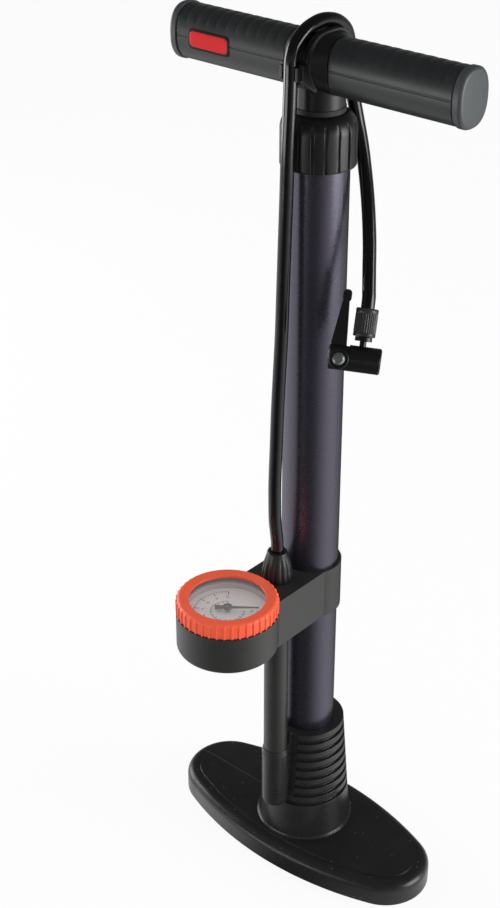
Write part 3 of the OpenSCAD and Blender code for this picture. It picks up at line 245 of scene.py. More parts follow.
def blank_finish(name):
    """A new material with its node tree, its shader and its Object coordinates."""
    finish = bpy.data.materials.new(name)
    finish.use_nodes = True
    tree = finish.node_tree
    shader = tree.nodes["Principled BSDF"]
    place = tree.nodes.new("ShaderNodeTexCoord").outputs["Object"]
    return finish, tree, shader, place


print("node helpers ready")

# %% [markdown]
# Moulded plastic makes most of the pump. Its mould was spark-eroded, so it has a fine grain that
# softens the gloss, and the colour drifts a little where the plastic flowed. Grain goes into the
# bump, the drift into colour and roughness. Moulded edges are never sharp, so where a CAD solid
# shows, its edges are rounded for the light by a small radius.

# %% Moulded plastic
def moulded_plastic(name, colour, rough, grain=0.35, depth=0.08, drift=0.10, edge=0.0, dust=0.0):
    """Colour drifts by a share over centimetres. Grain is the size of the texture in millimetres,
    depth its strength, edge the radius of the edges in millimetres, dust the share of pale specks."""
    finish, tree, shader, place = blank_finish(name)
    cloud = step_node(tree, "TexNoise", Vector=place, Scale=45.0, Detail=4.0, Roughness=0.6).outputs["Fac"]
    last = tinted(tree, colour, spread(tree, cloud, 0.3, 0.7, 1 - drift, 1 + drift))
    if dust:
        specks = step_node(tree, "TexVoronoi", Vector=place, Scale=150.0).outputs["Distance"]
        last = blended(tree, spread(tree, specks, 0.04, 0.08, dust, 0.0), last, srgb(150, 150, 148))
    fine = step_node(tree, "TexNoise", Vector=place, Scale=1000 / grain, Detail=2.0).outputs["Fac"]
    bump = step_node(tree, "Bump", Strength=depth, Distance=0.0002, Height=fine)
    if edge:
        rounded = step_node(tree, "Bevel", {"samples": 6}, Radius=edge * MM)
        tree.links.new(rounded.outputs[0], bump.inputs["Normal"])
    tree.links.new(last, shader.inputs["Base Color"])
    tree.links.new(spread(tree, cloud, 0.3, 0.7, rough - 0.04, rough + 0.05), shader.inputs["Roughness"])
    tree.links.new(bump.outputs[0], shader.inputs["Normal"])
    return finish


foot_black = moulded_plastic("foot_black", srgb(29, 29, 30), 0.32, grain=0.5, depth=0.08, edge=0.5, dust=0.35)
base_black = moulded_plastic("base_black", srgb(34, 34, 35), 0.27, depth=0.04, edge=0.7)
bracket_grey = moulded_plastic("bracket_grey", srgb(44, 44, 43), 0.40, grain=0.4, edge=0.5)
tube_grey = moulded_plastic("tube_grey", srgb(42, 41, 40), 0.36, grain=0.4, depth=0.06)
bezel_orange = moulded_plastic("bezel_orange", srgb(238, 90, 54), 0.42, grain=0.4, depth=0.05, drift=0.04)
cap_charcoal = moulded_plastic("cap_charcoal", srgb(18, 18, 18), 0.36, grain=0.4, depth=0.04)
grip_charcoal = moulded_plastic("grip_charcoal", srgb(35, 37, 38), 0.33, grain=0.5, depth=0.08)
# The end caps take the grips' charcoal painted lighter, as painted light for the lamps that fall on their end
# faces.
end_charcoal_painted_light = moulded_plastic("end_charcoal_painted_light", srgb(60, 64, 66), 0.38, grain=0.5, depth=0.10)
hub_black = moulded_plastic("hub_black", srgb(14, 14, 14), 0.34, depth=0.04, edge=0.8)
gland_black = moulded_plastic("gland_black", srgb(30, 30, 31), 0.34, depth=0.04)
head_black = moulded_plastic("head_black", srgb(15, 15, 15), 0.30, depth=0.03, edge=0.8)
nut_grey = moulded_plastic("nut_grey", srgb(40, 40, 40), 0.38, depth=0.04)
plate_red = moulded_plastic("plate_red", srgb(205, 16, 24), 0.36, depth=0.03, drift=0.05)
# Near black painted shade, laid on the sleeve where its cuts are shaded.
cut_painted_shade = moulded_plastic("cut_painted_shade", srgb(8, 8, 8), 0.55, depth=0.02)
nylon_white = moulded_plastic("nylon_white", srgb(222, 219, 208), 0.40, depth=0.03, drift=0.03, edge=0.3)
plate_black = moulded_plastic("plate_black", srgb(10, 10, 10), 0.40, depth=0.03)
for finish in (plate_red, plate_black):
    finish.node_tree.nodes["Principled BSDF"].inputs["Specular IOR Level"].default_value = 0.2
print("moulded plastics: foot, base, bracket, tube, bezel, cap, grips, ends, hub, gland, head, nut, plate")

# %% [markdown]
# The mould of the foot left one faint line along the left half of its top, which stays visible
# because the plastic is a little paler there. It goes over the colour that the foot has already.

# %% Mould line on the foot
foot_tree = foot_black.node_tree
foot_shader = foot_tree.nodes["Principled BSDF"]
foot_colour = foot_shader.inputs["Base Color"].links[0].from_socket
foot_spot = step_node(foot_tree, "SeparateXYZ", i0=step_node(foot_tree, "TexCoord").outputs["Object"])
foot_off = step_node(foot_tree, "Math", {"operation": "ABSOLUTE"}, i0=foot_spot.outputs["Y"]).outputs[0]
foot_side = spread(foot_tree, foot_spot.outputs["X"], -0.040, -0.036, 0.30, 0.0)
foot_line = step_node(foot_tree, "Math", {"operation": "MULTIPLY"}, i0=foot_side,
                      i1=spread(foot_tree, foot_off, 0.00015, 0.0004, 1.0, 0.0)).outputs[0]
foot_paler = blended(foot_tree, foot_line, foot_colour, srgb(110, 108, 106))
foot_tree.links.new(foot_paler, foot_shader.inputs["Base Color"])
print("mould line on the left of the foot")

# %% [markdown]
# The barrel is painted steel. The paint is a dark anthracite with a violet cast and a fine metal
# flake, rolled on satin, so it shows light as broad soft bands along its length.

# %% Barrel paint
def flake_paint(name, colour, flake_colour, rough):
    """Base paint with a share of flakes, each a small cell with its own brightness."""
    finish, tree, shader, place = blank_finish(name)
    cells = step_node(tree, "TexVoronoi", Vector=place, Scale=5200.0).outputs["Color"]
    coat = blended(tree, spread(tree, cells, 0.55, 1.0, 0.0, 0.2), colour, flake_colour)
    peel = step_node(tree, "TexNoise", Vector=place, Scale=420.0, Detail=2.0).outputs["Fac"]
    bump = step_node(tree, "Bump", Strength=0.04, Distance=0.0003, Height=peel)
    tree.links.new(coat, shader.inputs["Base Color"])
    tree.links.new(spread(tree, peel, 0.3, 0.7, rough - 0.03, rough + 0.03), shader.inputs["Roughness"])
    tree.links.new(bump.outputs[0], shader.inputs["Normal"])
    shader.inputs["Metallic"].default_value = 0.88
    return finish


barrel_paint = flake_paint("barrel_paint", srgb(88, 85, 97), srgb(116, 113, 126), 0.29)
print("barrel paint ready")

# %% [markdown]
# Bare metal: the brass of the gauge movement, the plated steel of screws and washers, the polished
# rod and the domed rivet of the lever. Turned parts show fine lines round their axis, which a
# stretched noise gives.

# %% Bare metals
def bare_metal(name, colour, rough, lines=900.0):
    """Fine lines: noise that is stretched along X and Y and close along Z."""
    finish, tree, shader, place = blank_finish(name)
    drawn = step_node(tree, "Mapping", Vector=place, Scale=(40.0, 40.0, lines)).outputs[0]
    scratch = step_node(tree, "TexNoise", Vector=drawn, Scale=4.0, Detail=3.0).outputs["Fac"]
    tone = tinted(tree, colour, spread(tree, scratch, 0.3, 0.7, 0.9, 1.08))
    tree.links.new(tone, shader.inputs["Base Color"])
    tree.links.new(spread(tree, scratch, 0.3, 0.7, rough - 0.05, rough + 0.08), shader.inputs["Roughness"])
    shader.inputs["Metallic"].default_value = 1.0
    return finish


movement_brass = bare_metal("movement_brass", srgb(196, 164, 92), 0.30)
plated_steel = bare_metal("plated_steel", srgb(190, 193, 196), 0.28)
polished_rod = bare_metal("polished_rod", srgb(214, 216, 218), 0.14)
print("metals: brass, plated steel, polished rod")

# %% [markdown]
# Rubber is duller than plastic and its surface is finely pitted. The hose is the exception: it is
# extruded, so it is glossy, with only a faint unevenness.

# %% Rubber and hose
def soft_rubber(name, colour, rough, pitted):
    """Fine pits from a cell pattern, and a slow drift of the gloss."""
    finish, tree, shader, place = blank_finish(name)
    pits = step_node(tree, "TexVoronoi", Vector=place, Scale=2600.0).outputs["Distance"]
    cloud = step_node(tree, "TexNoise", Vector=place, Scale=160.0, Detail=3.0).outputs["Fac"]
    bump = step_node(tree, "Bump", Strength=pitted, Distance=0.0002, Height=pits)
    tone = tinted(tree, colour, spread(tree, cloud, 0.3, 0.7, 0.85, 1.15))
    tree.links.new(tone, shader.inputs["Base Color"])
    tree.links.new(spread(tree, cloud, 0.3, 0.7, rough * 0.8, rough * 1.2), shader.inputs["Roughness"])
    tree.links.new(bump.outputs[0], shader.inputs["Normal"])
    return finish


seal_rubber = soft_rubber("seal_rubber", srgb(26, 26, 26), 0.62, 0.08)
hose_black = soft_rubber("hose_black", srgb(10, 10, 10), 0.15, 0.01)
print("rubbers: seals, hose")

# %% [markdown]
# The lens is thin clear plastic: nearly all light goes through and a little gloss stays. The dial
# behind it is a silver-grey plate, brushed in one direction. Needle and print are a warm black.

# %% Lens and dial finishes
lens_clear, lens_tree, lens_shader, lens_place = blank_finish("lens_clear")
lens_haze = step_node(lens_tree, "TexNoise", Vector=lens_place, Scale=120.0, Detail=3.0).outputs["Fac"]
lens_tree.links.new(spread(lens_tree, lens_haze, 0.4, 0.7, 0.02, 0.06), lens_shader.inputs["Roughness"])
lens_shader.inputs["Base Color"].default_value = (0.9, 0.9, 0.9, 1)
lens_shader.inputs["Alpha"].default_value = 0.10

dial_silver, dial_tree, dial_shader, dial_place = blank_finish("dial_silver")
dial_brush = step_node(dial_tree, "Mapping", Vector=dial_place, Scale=(60.0, 2600.0, 60.0)).outputs[0]
dial_lines = step_node(dial_tree, "TexNoise", Vector=dial_brush, Scale=1.0, Detail=3.0).outputs["Fac"]
dial_tone = tinted(dial_tree, srgb(236, 233, 232), spread(dial_tree, dial_lines, 0.3, 0.7, 0.93, 1.05))
dial_tree.links.new(dial_tone, dial_shader.inputs["Base Color"])
dial_tree.links.new(spread(dial_tree, dial_lines, 0.3, 0.7, 0.40, 0.50), dial_shader.inputs["Roughness"])

spacer_grey, spacer_tree, spacer_shader, spacer_place = blank_finish("spacer_grey")
# Painted light on the spacer's wall: near black at its top is painted shade under the bezel's lip, and the
# lighter and darker bands round it are painted reflections of rings.
spacer_height = step_node(spacer_tree, "SeparateXYZ", i0=spacer_place).outputs["Z"]
spacer_reflection_rings = step_node(spacer_tree, "TexWave", {"bands_direction": "Z"}, Vector=spacer_place, Scale=180.0)
spacer_shade_and_reflection = blended(spacer_tree, spread(spacer_tree, spacer_height, 0.2402, 0.2424, 0.0, 1.0),
                      srgb(172, 160, 160), srgb(16, 12, 12))
spacer_reflection_lines = spread(spacer_tree, spacer_reflection_rings.outputs["Fac"], 0.0, 1.0, 0.8, 1.1)
spacer_shade_and_reflection = tinted(spacer_tree, spacer_shade_and_reflection, spacer_reflection_lines)
spacer_tree.links.new(spacer_shade_and_reflection, spacer_shader.inputs["Base Color"])
spacer_shader.inputs["Roughness"].default_value = 0.26
needle_black = moulded_plastic("needle_black", srgb(46, 36, 34), 0.45, depth=0.02)
print("lens and dial finishes ready")

# %% [markdown]
# With the finishes made, every CAD solid gets the one of its real material, inside ones too.

# %% Finishes of the CAD solids
CAD_FINISH = {
    foot_black: ["foot_plate"],
    base_black: ["barrel_base"],
    barrel_paint: ["barrel"],
    bracket_grey: ["gauge_bracket"],
    tube_grey: ["air_tube"],
    bezel_orange: ["gauge_bezel"],
    cap_charcoal: ["top_cap"],
    grip_charcoal: ["handle_grip_left", "handle_grip_right"],
    end_charcoal_painted_light: ["handle_end_left", "handle_end_right"],
    hub_black: ["handle_hub"],
    gland_black: ["hose_gland"],
    head_black: ["head_body", "head_lever", "hose_tail"],
    nut_grey: ["hose_nut"],
    nylon_white: ["rod_guide", "piston", "head_pusher"],
    spacer_grey: ["gauge_spacer"],
    movement_brass: ["hose_nipple", "pointer_arbor", "sector_gear", "bourdon_tube", "movement_plate",
                     "movement_bridge"],
    plated_steel: ["foot_screws", "check_spring", "piston_washer", "piston_nut", "handle_crossbar",
                   "handle_pin", "head_rivet"],
    polished_rod: ["plunger_rod"],
    seal_rubber: ["barrel_gasket", "check_valve", "air_tube_seals", "rod_wiper", "piston_cup",
                  "handle_bumper", "head_rubber"],
    hose_black: ["hose"],
    lens_clear: ["gauge_lens"],
    dial_silver: ["gauge_dial"],
    needle_black: ["gauge_needle"],
}


def dress(piece, finish):
    """The piece shows this finish and no other."""
    piece.data.materials.clear()
    piece.data.materials.append(finish)
    return piece


def fit(piece, body, node=None):
    """The piece rides on a body, and stands in for a CAD solid if one is named, which is then hidden."""
    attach(piece, body)
    if node:
        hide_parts(node)
    return piece


for finish, names in CAD_FINISH.items():
    for name in names:
        dress(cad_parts[name], finish)
dress(hose_tube, hose_black)
print("finished", sum(map(len, CAD_FINISH.values())), "CAD solids")

# %% [markdown]
# The grips are hollow mouldings of an upright oval section. They carry shallow finger ridges over
# the top, and a fine parting line along the front where the two halves of the mould met. The
# section is a superellipse, so that it is a little fuller than an oval.

# %% Handle grips
GRIP_HALF_Y = 13.2
GRIP_HALF_Z = 16.5


def oval(a, grow=0.0):
    """Depth and height of the section at angle a, 0 at the front and rising over the top. A
    superellipse of power n = 2.4: (|cos a|^(2/n), |sin a|^(2/n)) times the half sizes."""
    y = -np.sign(np.cos(a)) * np.abs(np.cos(a)) ** (2 / 2.4) * (GRIP_HALF_Y + grow)
    z = np.sign(np.sin(a)) * np.abs(np.sin(a)) ** (2 / 2.4) * (GRIP_HALF_Z + grow)
    return y, z


def grip_angles():
    """Even angles, with close ones at the parting line on the front."""
    line = np.radians([-2.2, -1.1, -0.5, 0, 0.5, 1.1, 2.2])
    return np.concatenate([line, np.radians(np.linspace(4, 356, 118))])


def grip_grid(side):
    """Rows along the handle from hub to end. The depth of the ten ridges is 0.2 mm times
    cos^2 of their phase times the share of the top, and the parting line is 0.22 mm deep."""
    x = np.concatenate([[15.5, 15.5, 15.7, 16.2], np.linspace(17, 98.6, 164), [99.4, 99.8, 100.0, 100.0]])
    a = grip_angles()[None, :]
    inset = np.interp(x, [15.5, 16.2, 99.4, 100], [0.5, 0, 0, 0.7])[:, None]
    phase = np.pi * (x[:, None] - 19.5) / 7.7
    ridge = 0.2 * np.abs(np.sin(phase)) ** 6 * smooth((np.sin(a) - 0.25) / 0.5)
    ridge = ridge * smooth((x - 17) / 4)[:, None] * smooth((98 - x) / 4)[:, None]
    line = 0.22 * np.exp(-(np.degrees(np.angle(np.exp(1j * a))) / 0.8) ** 2)
    y, z = oval(a, -(inset + ridge + line))
    y[[0, -1]] *= 0.5
    z[[0, -1]] *= 0.5
    return MM * np.stack(np.broadcast_arrays(side * x[:, None], y, HANDLE_Z + z), -1)


for side, word in ((-1, "left"), (1, "right")):
    grip = skin("grip_" + word, grip_grid(side), ends=True, crease=60)
    fit(dress(grip, grip_charcoal), "plunger", "handle_grip_" + word)
print("grips:", len(grip.data.polygons), "faces each")

# %% [markdown]
# The end caps are separate mouldings pressed into the grips. They stand half a millimetre proud,
# have a rounded edge and a nearly flat face.

# %% End caps
def end_grid(side):
    """Rows from the joint outwards: a straight wall, a quarter round of 2.5 mm, then a face that
    domes by 0.35 mm as 1 - s^2, where s is the share of the way from the middle."""
    c, s = quarter(10)
    shares = np.linspace(1, 0.02, 16)[1:]
    x = np.concatenate([[100.1, 100.1, 100.4, 103], 103.15 + 2.5 * s, 105.65 + 0.35 * (1 - shares ** 2)])
    grow = np.concatenate([[-6, 0.1, 0.6, 0.6], 0.6 - 2.5 * (1 - c), np.full(15, -1.9)])
    shrink = np.concatenate([np.ones(14), shares])
    y, z = oval(around(96)[None, :], grow[:, None])
    return MM * np.stack(np.broadcast_arrays(
        side * x[:, None], y * shrink[:, None], HANDLE_Z + z * shrink[:, None]), -1)


for side, word in ((-1, "left"), (1, "right")):
    end_cap = skin("end_cap_" + word, end_grid(side), ends=True, crease=50)
    fit(dress(end_cap, end_charcoal_painted_light), "plunger", "handle_end_" + word)
print("end caps:", len(end_cap.data.polygons), "faces each")

# %% [markdown]
# On the front of the left grip sits a small plate, red with a black border. It stays bare here. It
# follows the curve of the grip, so it is a grid over width and height, laid on the grip's surface.

# %% Plate on the left grip
def plate_grid(half_x, half_z, corner, lift):
    """Rings from the middle to the edge of a rounded rectangle, by a superellipse-like blend: a
    rectangle whose corners are pulled in to a radius. Depth follows the oval at that height."""
    a = around(128)
    wide, tall = (np.maximum(np.abs(f(a)), 1e-6) for f in (np.cos, np.sin))
    reach = np.minimum(half_x / wide, half_z / tall)
    px, pz = reach * np.cos(a), reach * np.sin(a)
    ox, oz = np.abs(px) - (half_x - corner), np.abs(pz) - (half_z - corner)
    over = np.hypot(np.maximum(ox, 0), np.maximum(oz, 0))
    pull = np.where((ox > 0) & (oz > 0), corner / np.maximum(over, corner), 1)
    px = np.where(pull < 1, np.sign(px) * (half_x - corner + ox * pull), px)
    pz = np.where(pull < 1, np.sign(pz) * (half_z - corner + oz * pull), pz)
    shares = np.array([0.02, 0.3, 0.6, 0.85, 0.97, 1.0, 1.0])[:, None]
    sink = np.array([0, 0, 0, 0, 0, 0.12, 0.9])[:, None]
    x, z = px * shares, pz * shares
    y = -GRIP_HALF_Y * (1 - (np.abs(z) / GRIP_HALF_Z) ** 2.4) ** (1 / 2.4) - lift + sink
    return MM * np.stack([x - 73.8, y, z + 571.9], -1)


plate_border = skin("plate_border", plate_grid(16.5, 6.2, 3.0, 0.25), ends=True, crease=35)
plate_face = skin("plate_face", plate_grid(14.8, 4.6, 2.4, 0.42), ends=True, crease=35)
fit(dress(plate_border, plate_black), "plunger")
fit(dress(plate_face, plate_red), "plunger")
print("plate: 33 by 12.4 mm, bare")

# %% [markdown]
# The orange bezel screws over the cup of the gauge. Small ridges round its wall give the fingers
# hold, its upper edge is rounded, and a broad sloping face leads in to the lens.

# %% Gauge bezel
GAUGE = (0.0, -82.0)


def bezel_grid():
    """Closed profile of radius and height, swept round the gauge. The wall swells by 0.9 mm at 42
    ridges: a smooth step of the way from each ridge's middle line, so that they stay narrow."""
    c, s = quarter(9)
    r = np.concatenate([[31.3, 31.8, 32.0, 32.0, 32.0], 29.6 + 2.4 * c, [28.4, 26.6], 25.2 - 0.8 * s,
                        [24.4, 26.2, 26.2, 31.3]])
    z = np.concatenate([[237.7, 237.7, 238.0, 239.2, 244.6], 245.8 + 2.4 * s, [248.1, 247.8], 246.7 + 0.8 * c,
                        [246.1, 246.05, 242.0, 242.0]])
    wall = np.concatenate([[0, 0.6, 1, 1, 1], smooth(1 - 1.2 * s), np.zeros(15)])
    turns = np.arange(42 * 24)[None, :] / 24
    off = 4.8 * np.abs((turns + 0.5) % 1 - 0.5)
    swell = 0.9 * wall[:, None] * smooth((0.8 - off) / 0.35)
    return stand(r[:, None] + swell, 2 * np.pi * turns / 42, z[:, None], GAUGE)


bezel_ring = skin("bezel_ring", bezel_grid(), loop_u=True, crease=38)
fit(dress(bezel_ring, bezel_orange), "base", "gauge_bezel")
print("bezel: 42 ridges,", len(bezel_ring.data.polygons), "faces")

# %% [markdown]
# The dial is printed with a scale from 0 to 10 round three quarters of a turn, with an inner ring
# of finer marks. The print is a thin layer on the plate. Its figures stand upright for someone
# behind the pump, who reads it while pumping.

# %% Dial print
DIAL_TOP = 236.84
SCALE_START, SCALE_SWEEP = np.radians(40), np.radians(-270)


def flat_marks(corners):
    """Mesh of separate flat quads from their corners round the gauge's middle, shape (n, 4, 2)."""
    points = np.concatenate([corners + GAUGE, np.full(corners.shape[:2] + (1,), DIAL_TOP)], -1)
    mesh = bpy.data.meshes.new("dial_marks")
    mesh.from_pydata((MM * points).reshape(-1, 3).tolist(), [],
                     np.arange(len(corners) * 4).reshape(-1, 4).tolist())
    return mesh


def strokes(share, inner, outer, width):
    """Strokes pointing at the middle, at shares of the scale."""
    a = SCALE_START + SCALE_SWEEP * share
    out = np.stack([np.cos(a), np.sin(a)], -1)
    side = width / 2 * np.stack([-np.sin(a), np.cos(a)], -1)
    return np.stack([inner * out - side, outer * out - side, outer * out + side, inner * out + side], 1)


def arc(radius, width, count=140):
    """A line along the scale, as short quads."""
    a = SCALE_START + SCALE_SWEEP * np.linspace(0, 1, count)
    out = np.stack([np.cos(a), np.sin(a)], -1)
    low, high = (radius - width / 2) * out, (radius + width / 2) * out
    return np.stack([low[1:], low[:-1], high[:-1], high[1:]], 1)


def figure(text, share, radius, size):
    """A figure as a flat mesh, centred at its place on the scale, its top towards the front."""
    a = SCALE_START + SCALE_SWEEP * share
    letters = bpy.data.curves.new("figure", "FONT")
    letters.body, letters.size = text, size * MM
    letters.align_x = letters.align_y = "CENTER"
    letters.resolution_u = 3
    shown = bpy.data.objects.new("figure", letters)
    scene.collection.objects.link(shown)
    mesh = bpy.data.meshes.new_from_object(shown.evaluated_get(bpy.context.evaluated_depsgraph_get()))
    bpy.data.objects.remove(shown)
    bpy.data.curves.remove(letters)
    place = (radius * math.cos(a) + GAUGE[0], radius * math.sin(a) + GAUGE[1], DIAL_TOP)
    mesh.transform(Matrix.Translation(MM * Vector(place)) @ Matrix.Rotation(math.pi, 4, "Z"))
    return mesh


print_meshes = [flat_marks(np.concatenate([
    strokes(np.linspace(0, 1, 11), 18.2, 21.6, 0.55), strokes(np.linspace(0, 1, 51), 20.0, 21.6, 0.24),
    strokes(np.linspace(0, 1, 15), 9.2, 10.9, 0.4), strokes(np.linspace(0, 1, 71), 10.1, 10.9, 0.18),
    arc(21.75, 0.3), arc(11.0, 0.25)]))]
print_meshes += [figure(str(k), k / 10, 15.6, 3.4) for k in range(11)]
joined = bmesh.new()
for mesh in print_meshes:
    joined.from_mesh(mesh)
    bpy.data.meshes.remove(mesh)
print_mesh = bpy.data.meshes.new("dial_print")
joined.to_mesh(print_mesh)
joined.free()
dial_print = bpy.data.objects.new("dial_print", print_mesh)
scene.collection.objects.link(dial_print)
fit(dress(dial_print, needle_black), "base")
print("dial print:", len(print_mesh.polygons), "faces")

# %% [markdown]
# The cap at the top of the barrel is screwed on by hand: narrow slots run down its wall, and its
# shoulder is a wide round that ends in a flat top with a hole for the rod.

# %% Top cap
def slotted_angles(count, half, fine):
    """Angles for a wall with slots: close together at the edges of each slot, wide between."""
    step = 2 * np.pi / count
    near = np.array([-1.35, -1.1, -0.95, -0.8, -0.5, 0, 0.5, 0.8, 0.95, 1.1, 1.35]) * half
    far = np.linspace(1.35 * half, step - 1.35 * half, fine + 2)[1:-1]
    one = np.concatenate([near, far])
    return (np.arange(count)[:, None] * step + one).ravel(), np.tile(
        np.concatenate([smooth((1.2 - np.abs(near) / half) / 0.4), np.zeros(fine)]), count)


def cap_grid():
    """Outer wall and shoulder arc, top, hole and inside. Slots are 1.6 mm wide and 1.1 mm deep, and
    fade out over the shoulder."""
    q = np.radians(np.linspace(0, 56, 15))
    r = np.concatenate([[19.1, 22.0, 22.6, 22.8, 22.8, 22.8], 11.07 + 11.73 * np.cos(q),
                        [16.6, 12, 9.5, 9.1, 9.1, 19.1]])
    z = np.concatenate([[512.5, 512.5, 512.6, 513.0, 514.0, 524.0], 534.0 + 11.73 * np.sin(q),
                        [544.0, 544.0, 544.0, 543.6, 537.0, 537.0]])
    z = np.minimum(z, 544.0)
    row = np.arange(len(r))
    outer = (row > 1) & (row < 21)
    depth = np.interp(z, [512.5, 513.5, 532, 538, 541], [0, 1.1, 1.1, 0.7, 0]) * outer
    a, slot = slotted_angles(18, math.radians(2.0), 8)
    return stand(r[:, None] - depth[:, None] * slot[None, :], a[None, :], z[:, None])


cap_shell = skin("cap_shell", cap_grid(), loop_u=True, crease=40)
fit(dress(cap_shell, cap_charcoal), "base", "top_cap")
print("top cap: 18 slots,", len(cap_shell.data.polygons), "faces")

# %% [markdown]
# The gland that holds the hose to the arm is a small fluted cone: twelve rounded petals at its
# foot that run together towards the rim round the hose.

# %% Hose gland
def gland_grid():
    """Cone from 10.2 to 6.5 mm radius. Petals are the absolute value of a sine, 0.9 mm deep at the
    foot and none at the rim, and the foot's edge is rounded."""
    z = np.array([0, 0, 0.3, 1.0, 2.5, 4, 6, 8, 10, 12, 14.5, 17, 18.6, 19.4, 20.2, 20.8, 21, 21,
                  20, 6, 6, 0])
    r = np.array([8, 9.4, 9.9, 10.2, 10.2, 10.2, 9.9, 9.6, 9.3, 9.0, 8.2, 7.4, 6.9, 6.7, 6.6, 6.3, 5.9, 4.4,
                  4.3, 4.3, 5, 5.5])
    deep = np.interp(z, [0, 2, 6, 15, 18.6], [0.7, 0.9, 0.9, 0.6, 0]) * (np.arange(len(z)) < 17)
    a = around(12 * 20)[None, :]
    petal = 1 - np.abs(np.sin(6 * a)) ** 0.7
    return stand(r[:, None] - deep[:, None] * petal, a, 238 + z[:, None], AIR_TUBE)


gland_cone = skin("gland_cone", gland_grid(), loop_u=True, crease=45)
fit(dress(gland_cone, gland_black), "base", "hose_gland")
print("gland: 12 petals,", len(gland_cone.data.polygons), "faces")

# %% [markdown]
# The head hangs at a slant, so its pieces are worked out in the head's own axes, with the lever's
# pin as origin, and then turned into place. The hose nut is knurled between two plain rims, and a
# thin raised lip runs round each end of the rivet.

# %% Hose nut and rivet lips
HEAD_PIN = np.array([40.4, -27.2, 408.1])
HEAD_TURN = np.array(Matrix.Rotation(math.radians(38), 3, "Z") @ Matrix.Rotation(math.radians(-26), 3, "X")
                     @ Matrix.Rotation(math.radians(6.2), 3, "Y"))


def in_head(x, y, z):
    """Points given in the head's axes, in millimetres, as a grid in the frame, in metres."""
    return MM * (np.stack(np.broadcast_arrays(x, y, z), -1) @ HEAD_TURN.T + HEAD_PIN)


def nut_grid():
    """Profile of the nut with its bore. Thirty knurls are cosine waves 0.45 mm deep."""
    z = np.array([14.7, 14.7, 15.0, 16.6, 17.0, 17.6, 28.0, 28.6, 29.0, 30.9, 31.5, 31.5, 30.0, 16.0])
    r = np.array([4.3, 6.3, 6.6, 6.7, 6.5, 6.7, 6.7, 6.5, 6.7, 6.7, 6.2, 4.3, 4.3, 4.3])
    knurled = np.interp(z, [16.9, 17.6, 28.0, 28.7], [0, 1, 1, 0]) * (np.arange(len(z)) < 11)
    a = around(30 * 8)[None, :]
    wave = 0.45 * (0.5 - 0.5 * np.cos(30 * a))
    radius = r[:, None] - knurled[:, None] * wave
    return in_head(13.1 + radius * np.cos(a), radius * np.sin(a), z[:, None])


def lip_grid(side):
    """A half-round ring about the pin's axis: radius 5.7 mm, 0.55 mm thick."""
    a, b = around(64)[None, :], around(16)[:, None]
    radius = 5.55 + 0.55 * np.cos(b)
    return in_head(radius * np.cos(a), side * (8.35 + 0.55 * np.sin(b)), radius * np.sin(a))


nut_sleeve = skin("nut_sleeve", nut_grid(), loop_u=True, crease=45)
fit(dress(nut_sleeve, nut_grey), "base", "hose_nut")
for side, word in ((-1, "front"), (1, "back")):
    fit(dress(skin("rivet_lip_" + word, lip_grid(side), loop_u=True), head_black), "lever")
print("nut:", len(nut_sleeve.data.polygons), "faces, and two lips")

# %% [markdown]
# Two hidden pieces give way as the pump works. The spring over the check valve is pressed together
# when the valve lifts, and the curved tube of the gauge opens and takes the sector's tail with it.
# A copy of each solid is made, with a mesh of its own, and stands in for it.

# %% Valve spring and gauge tube
def yielding_copy(node, name):
    """A copy of a CAD solid, merged, with its sharp edges kept, which may change its form."""
    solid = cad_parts[node]
    mesh = solid.data.copy()
    mesh.transform(solid.matrix_world)
    shell = bmesh.new()
    shell.from_mesh(mesh)
    bmesh.ops.remove_doubles(shell, verts=shell.verts, dist=1e-6)
    shell.to_mesh(mesh)
    shell.free()
    mesh.shade_smooth()
    mesh.set_sharp_from_angle(angle=math.radians(35))
    copy = bpy.data.objects.new(name, mesh)
    scene.collection.objects.link(copy)
    return copy


valve_spring = yielding_copy("check_spring", "valve_spring")
fit(dress(valve_spring, plated_steel), "base", "check_spring")
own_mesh(valve_spring)

gauge_tube = yielding_copy("bourdon_tube", "gauge_tube")
dress(gauge_tube, movement_brass)
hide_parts("bourdon_tube")
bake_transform(gauge_tube)

# %% [markdown]
# Low on the right of the sleeve there are two short cuts, one above the other. Each is laid on as
# a strip of painted shade, near black for the shade inside the cut, a hair over the sleeve's surface
# and bent a little downwards in its middle.

# %% Cuts on the sleeve
def cut_grid(height):
    """A strip on the sleeve, from the front to its right side, 0.5 mm wide and thinner at its ends.
    It sags by 0.6 mm times the sine of its share."""
    share = np.linspace(0, 1, 40)[None, :]
    a = np.radians(-62 + 66 * share)
    half = 0.27 * np.sin(np.pi * np.clip(share, 0.03, 0.97)) ** 0.4
    across = np.array([-1.0, -1.0, 1.0, 1.0])[:, None]
    radius = 9.4 + np.array([-0.3, 0.03, 0.03, -0.3])[:, None]
    level = height + 0.8 * share - 0.6 * np.sin(np.pi * share)
    return stand(radius + 0 * a, a, level + across * half, AIR_TUBE)


for height, word in ((58.0, "low"), (61.0, "high")):
    cut = skin("sleeve_cut_" + word, cut_grid(height).swapaxes(0, 1), ends=True)
    fit(dress(cut, cut_painted_shade), "base")
print("two cuts on the sleeve")

# %% [markdown]
# The pump stands on a white floor in a white room, lit from low at both sides. Faces that look up
# see a dimmer ceiling and stay dark, as in the photograph, while walls show the bright floor to
# the right and on the left. The floor is white to the camera, keeps a soft shadow, and is clear from
# below, so that the underside can be looked at.

